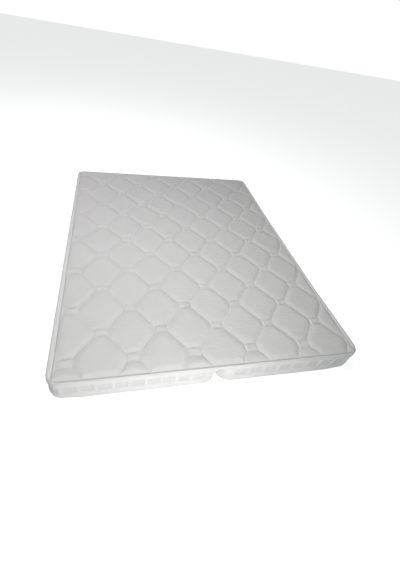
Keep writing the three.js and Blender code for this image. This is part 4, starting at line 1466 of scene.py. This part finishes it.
def zip_coil(side, sizes, zips):
    """The closed coil: turns from either side that meet past the middle, by turns, and an end
    stop at each end. A turn is a ring of six points carried over a low arch of five steps."""
    face = sizes.length / 2 - zips.face_inset + 2 * sizes.clearance + zips.tape_thickness
    pitch, radius, reach = zips.tooth_pitch, zips.tooth_radius, zips.tooth_reach
    first, last = zips.start + zips.stop_length, zips.end - zips.stop_length
    steps, sides, arch, overlap = 5, 6, 0.0007, 0.0006
    count = int((last - first) / pitch) - 1
    place = first + pitch * (0.75 + np.arange(count))
    t = np.linspace(0.0, 1.0, steps + 1)[:, None]
    ring = np.linspace(0.0, 2 * math.pi, sides, endpoint=False)[None, :]
    width = radius * (0.55 + 0.45 * np.sin(math.pi * np.clip(t, 0.08, 0.92)))
    rise = radius + arch * np.sin(math.pi * t)
    line_up = reach - 0.0002 - radius * 0.4 - t * (reach + overlap)
    turn_x = width * np.cos(ring)
    turn_y = rise + width * np.sin(ring)
    turn_z = np.broadcast_to(line_up, turn_x.shape)
    shape = np.stack([turn_x, turn_y, turn_z], axis=-1)
    mirror = shape * np.array([1.0, 1.0, -1.0]) + np.array([pitch / 2, 0.0, 0.0])
    pair = np.stack([shape, mirror[:, ::-1]])
    places = np.stack([place, np.full(count, face), np.full(count, zips.height)], axis=-1)
    points = places[:, None, None, None, :] + pair[None]
    points[..., 0] *= side
    rows, columns = shape.shape[:2]
    quads = grid_faces(rows, columns, wrap=True)
    caps = end_faces(rows, columns)
    start = (np.arange(2 * count) * rows * columns)[:, None, None]
    quads = (quads[None] + start).reshape(-1, 4)[:, ::-1]
    caps = (caps[None] + start).reshape(-1, columns)
    points = points.reshape(-1, 3)
    stops, block = coil_stops(side, face, zips)
    return np.concatenate([points, stops]), quads, caps, block + len(points)


class MATTRESS_OT_zips(bpy.types.Operator):
    """Make the zip tapes and coils, and finish the sliders and pullers"""

    bl_idname = "mattress.zips"
    bl_label = "Zips"

    def execute(self, context):
        scene = context.scene
        sizes, zips, finishes = scene.mattress_sizes, scene.mattress_zips, scene.mattress_finishes
        tape_finish, nylon = tape_cloth(finishes, zips), coil_nylon(finishes)
        metal = zip_metal(finishes)
        for prefix, side in SIDES:
            points, flat, faces = zip_tape(side, sizes, zips)
            tape = make_piece(f"{prefix}_tape", points, faces, tape_finish, flat)
            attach(tape, f"{prefix}_half")
            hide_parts(f"{prefix}_zip_tape")
            points, quads, caps, block = zip_coil(side, sizes, zips)
            coil = make_piece(f"{prefix}_coil", points, [quads, caps, block], nylon, crease=50.0)
            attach(coil, f"{prefix}_half")
            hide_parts(f"{prefix}_zip_coil")
            for part in ("slider", "puller"):
                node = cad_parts[f"{prefix}_zip_{part}"]
                node.data.materials.clear()
                node.data.materials.append(metal)
                weld = node.modifiers.new("joined", "WELD")
                weld.merge_threshold = 1e-5
                bevel = node.modifiers.new("rounded", "BEVEL")
                bevel.width, bevel.segments = 0.00025, 2
                bevel.angle_limit = math.radians(35.0)
        return {"FINISHED"}


# Studio

# The measured camera: sensor and focal length in millimetres, shift in widths of the
# picture, and the directions that are right and up in it
SENSOR, LENS = 36.0, 18.36
SHIFT = (0.0262, -0.0259)
RIGHT, UP = Vector((0.97156, -0.18319, 0.15005)), Vector((0.01821, 0.68958, 0.72399))
FLOOR_REACH = 14.0


def aim(thing, target):
    """Turns a lamp so that it looks at a point."""
    way = Vector(target) - thing.location
    thing.rotation_mode = "QUATERNION"
    thing.rotation_quaternion = way.to_track_quat("-Z", "Y")


def area_lamp(name, place, target, size, power, colour):
    """A large square lamp aimed at a point."""
    data = bpy.data.lights.new(name, "AREA")
    data.shape = "SQUARE"
    data.size = size
    data.energy = power
    data.color = colour
    lamp = bpy.data.objects.new(name, data)
    bpy.context.scene.collection.objects.link(lamp)
    lamp.location = place
    aim(lamp, target)


class MATTRESS_OT_studio(bpy.types.Operator):
    """Set the camera, the floor, the lamps and the even light round the mattress"""

    bl_idname = "mattress.studio"
    bl_label = "Studio"

    def execute(self, context):
        scene = context.scene
        studio = scene.mattress_studio
        scene.view_settings.view_transform = "Standard"
        self.place_camera(scene, studio)
        self.lay_floor(studio)
        self.light_up(scene, studio)
        return {"FINISHED"}

    def place_camera(self, scene, studio):
        """The camera, turned so that its axes are right, up and back."""
        data = bpy.data.cameras.new("camera")
        data.sensor_width, data.lens = SENSOR, LENS
        data.shift_x, data.shift_y = SHIFT
        data.clip_start, data.clip_end = 0.02, 60.0
        camera = bpy.data.objects.new("camera", data)
        scene.collection.objects.link(camera)
        axes = Matrix((RIGHT, UP, RIGHT.cross(UP))).transposed()
        camera.rotation_mode = "QUATERNION"
        camera.rotation_quaternion = axes.to_quaternion()
        camera.location = studio.camera_place
        scene.camera = camera

    def lay_floor(self, studio):
        """A flat floor that keeps the shadow, and that the camera sees as nearly white."""
        f = finish_of("floor")
        cloud = f.noise(f.object_place(), (2.0, 2.0, 2.0), 3.0, 0.5)
        colour = f.tint(cloud, studio.floor, darker(studio.floor, 0.98))
        diffuse = f.add("ShaderNodeBsdfDiffuse", {"Color": colour})
        lift = f.times(f.seen(), studio.floor_lift)
        glow = f.add("ShaderNodeEmission", {"Color": (1, 1, 1, 1), "Strength": lift})
        both = f.add("ShaderNodeAddShader", {0: diffuse.outputs[0], 1: glow.outputs[0]})
        f.put(f.output.inputs[0], both.outputs[0])
        mesh = bpy.data.meshes.new("floor")
        corners = [(-1, -1, 0), (1, -1, 0), (1, 1, 0), (-1, 1, 0)]
        corners = [Vector(corner) * FLOOR_REACH for corner in corners]
        mesh.from_pydata(corners, [], [(0, 1, 2, 3)])
        mesh.materials.append(f.owner)
        floor = bpy.data.objects.new("floor", mesh)
        bpy.context.scene.collection.objects.link(floor)

    def light_up(self, scene, studio):
        """A low lamp in front, a wide one and a smaller one overhead, and even light."""
        lamps = (
            ("front", studio.front_place, (-0.25, -0.95, 0.08), 0.5),
            ("side", studio.side_place, (-0.2, 0.2, 0.1), 2.0),
            ("top", studio.top_place, (-0.3, -0.45, 0.1), 1.2),
        )
        for name, place, target, size in lamps:
            power = getattr(studio, f"{name}_power")
            area_lamp(name, place, target, size, power, getattr(studio, f"{name}_colour"))
        scene.world = bpy.data.worlds.new("studio")
        f = Finish(scene.world, "ShaderNodeOutputWorld")
        sky = {"Color": (*studio.sky_colour, 1.0), "Strength": studio.sky}
        sky = f.add("ShaderNodeBackground", sky)
        white = f.add("ShaderNodeBackground", {"Color": (1.0, 1.0, 1.0, 1.0)})
        mix = {0: f.seen(), 1: sky.outputs[0], 2: white.outputs[0]}
        mix = f.add("ShaderNodeMixShader", mix)
        f.put(f.output.inputs[0], mix.outputs[0])


class MATTRESS_PT_sidebar(bpy.types.Panel):
    """Sizes, colours and pieces of the folding mattress"""

    bl_idname = "MATTRESS_PT_sidebar"
    bl_label = "Folding Mattress"
    bl_space_type = "VIEW_3D"
    bl_region_type = "UI"
    bl_category = "Mattress"

    def draw(self, context):
        for name in GROUPS:
            group = getattr(context.scene, name)
            box = self.layout.box()
            box.label(text=name.replace("_", " ").title())
            for field in group.bl_rna.properties:
                if field.identifier not in ("rna_type", "name"):
                    box.prop(group, field.identifier)
        for operator in OPERATORS:
            self.layout.operator(operator.bl_idname)


GROUPS = {
    "mattress_sizes": MattressSizes,
    "mattress_quilt": QuiltSizes,
    "mattress_band": BandSizes,
    "mattress_zips": ZipSizes,
    "mattress_finishes": Finishes,
    "mattress_studio": StudioSettings,
}

OPERATORS = (
    MATTRESS_OT_studio,
    MATTRESS_OT_quilted_top,
    MATTRESS_OT_side_bands,
    MATTRESS_OT_edge_roll,
    MATTRESS_OT_foam,
    MATTRESS_OT_fold_sides,
    MATTRESS_OT_undersides,
    MATTRESS_OT_zips,
)


def register():
    for group in GROUPS.values():
        bpy.utils.register_class(group)
    for name, group in GROUPS.items():
        setattr(bpy.types.Scene, name, PointerProperty(type=group))
    for operator in OPERATORS:
        bpy.utils.register_class(operator)
    bpy.utils.register_class(MATTRESS_PT_sidebar)


def unregister():
    bpy.utils.unregister_class(MATTRESS_PT_sidebar)
    for operator in reversed(OPERATORS):
        bpy.utils.unregister_class(operator)
    for name in GROUPS:
        delattr(bpy.types.Scene, name)
    for group in reversed(GROUPS.values()):
        bpy.utils.unregister_class(group)


def main():
    """Registers the classes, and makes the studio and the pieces."""
    register()
    bpy.ops.mattress.studio()
    bpy.ops.mattress.quilted_top()
    bpy.ops.mattress.side_bands()
    bpy.ops.mattress.edge_roll()
    bpy.ops.mattress.foam()
    bpy.ops.mattress.fold_sides()
    bpy.ops.mattress.undersides()
    bpy.ops.mattress.zips()


if __name__ == "__main__":
    main()
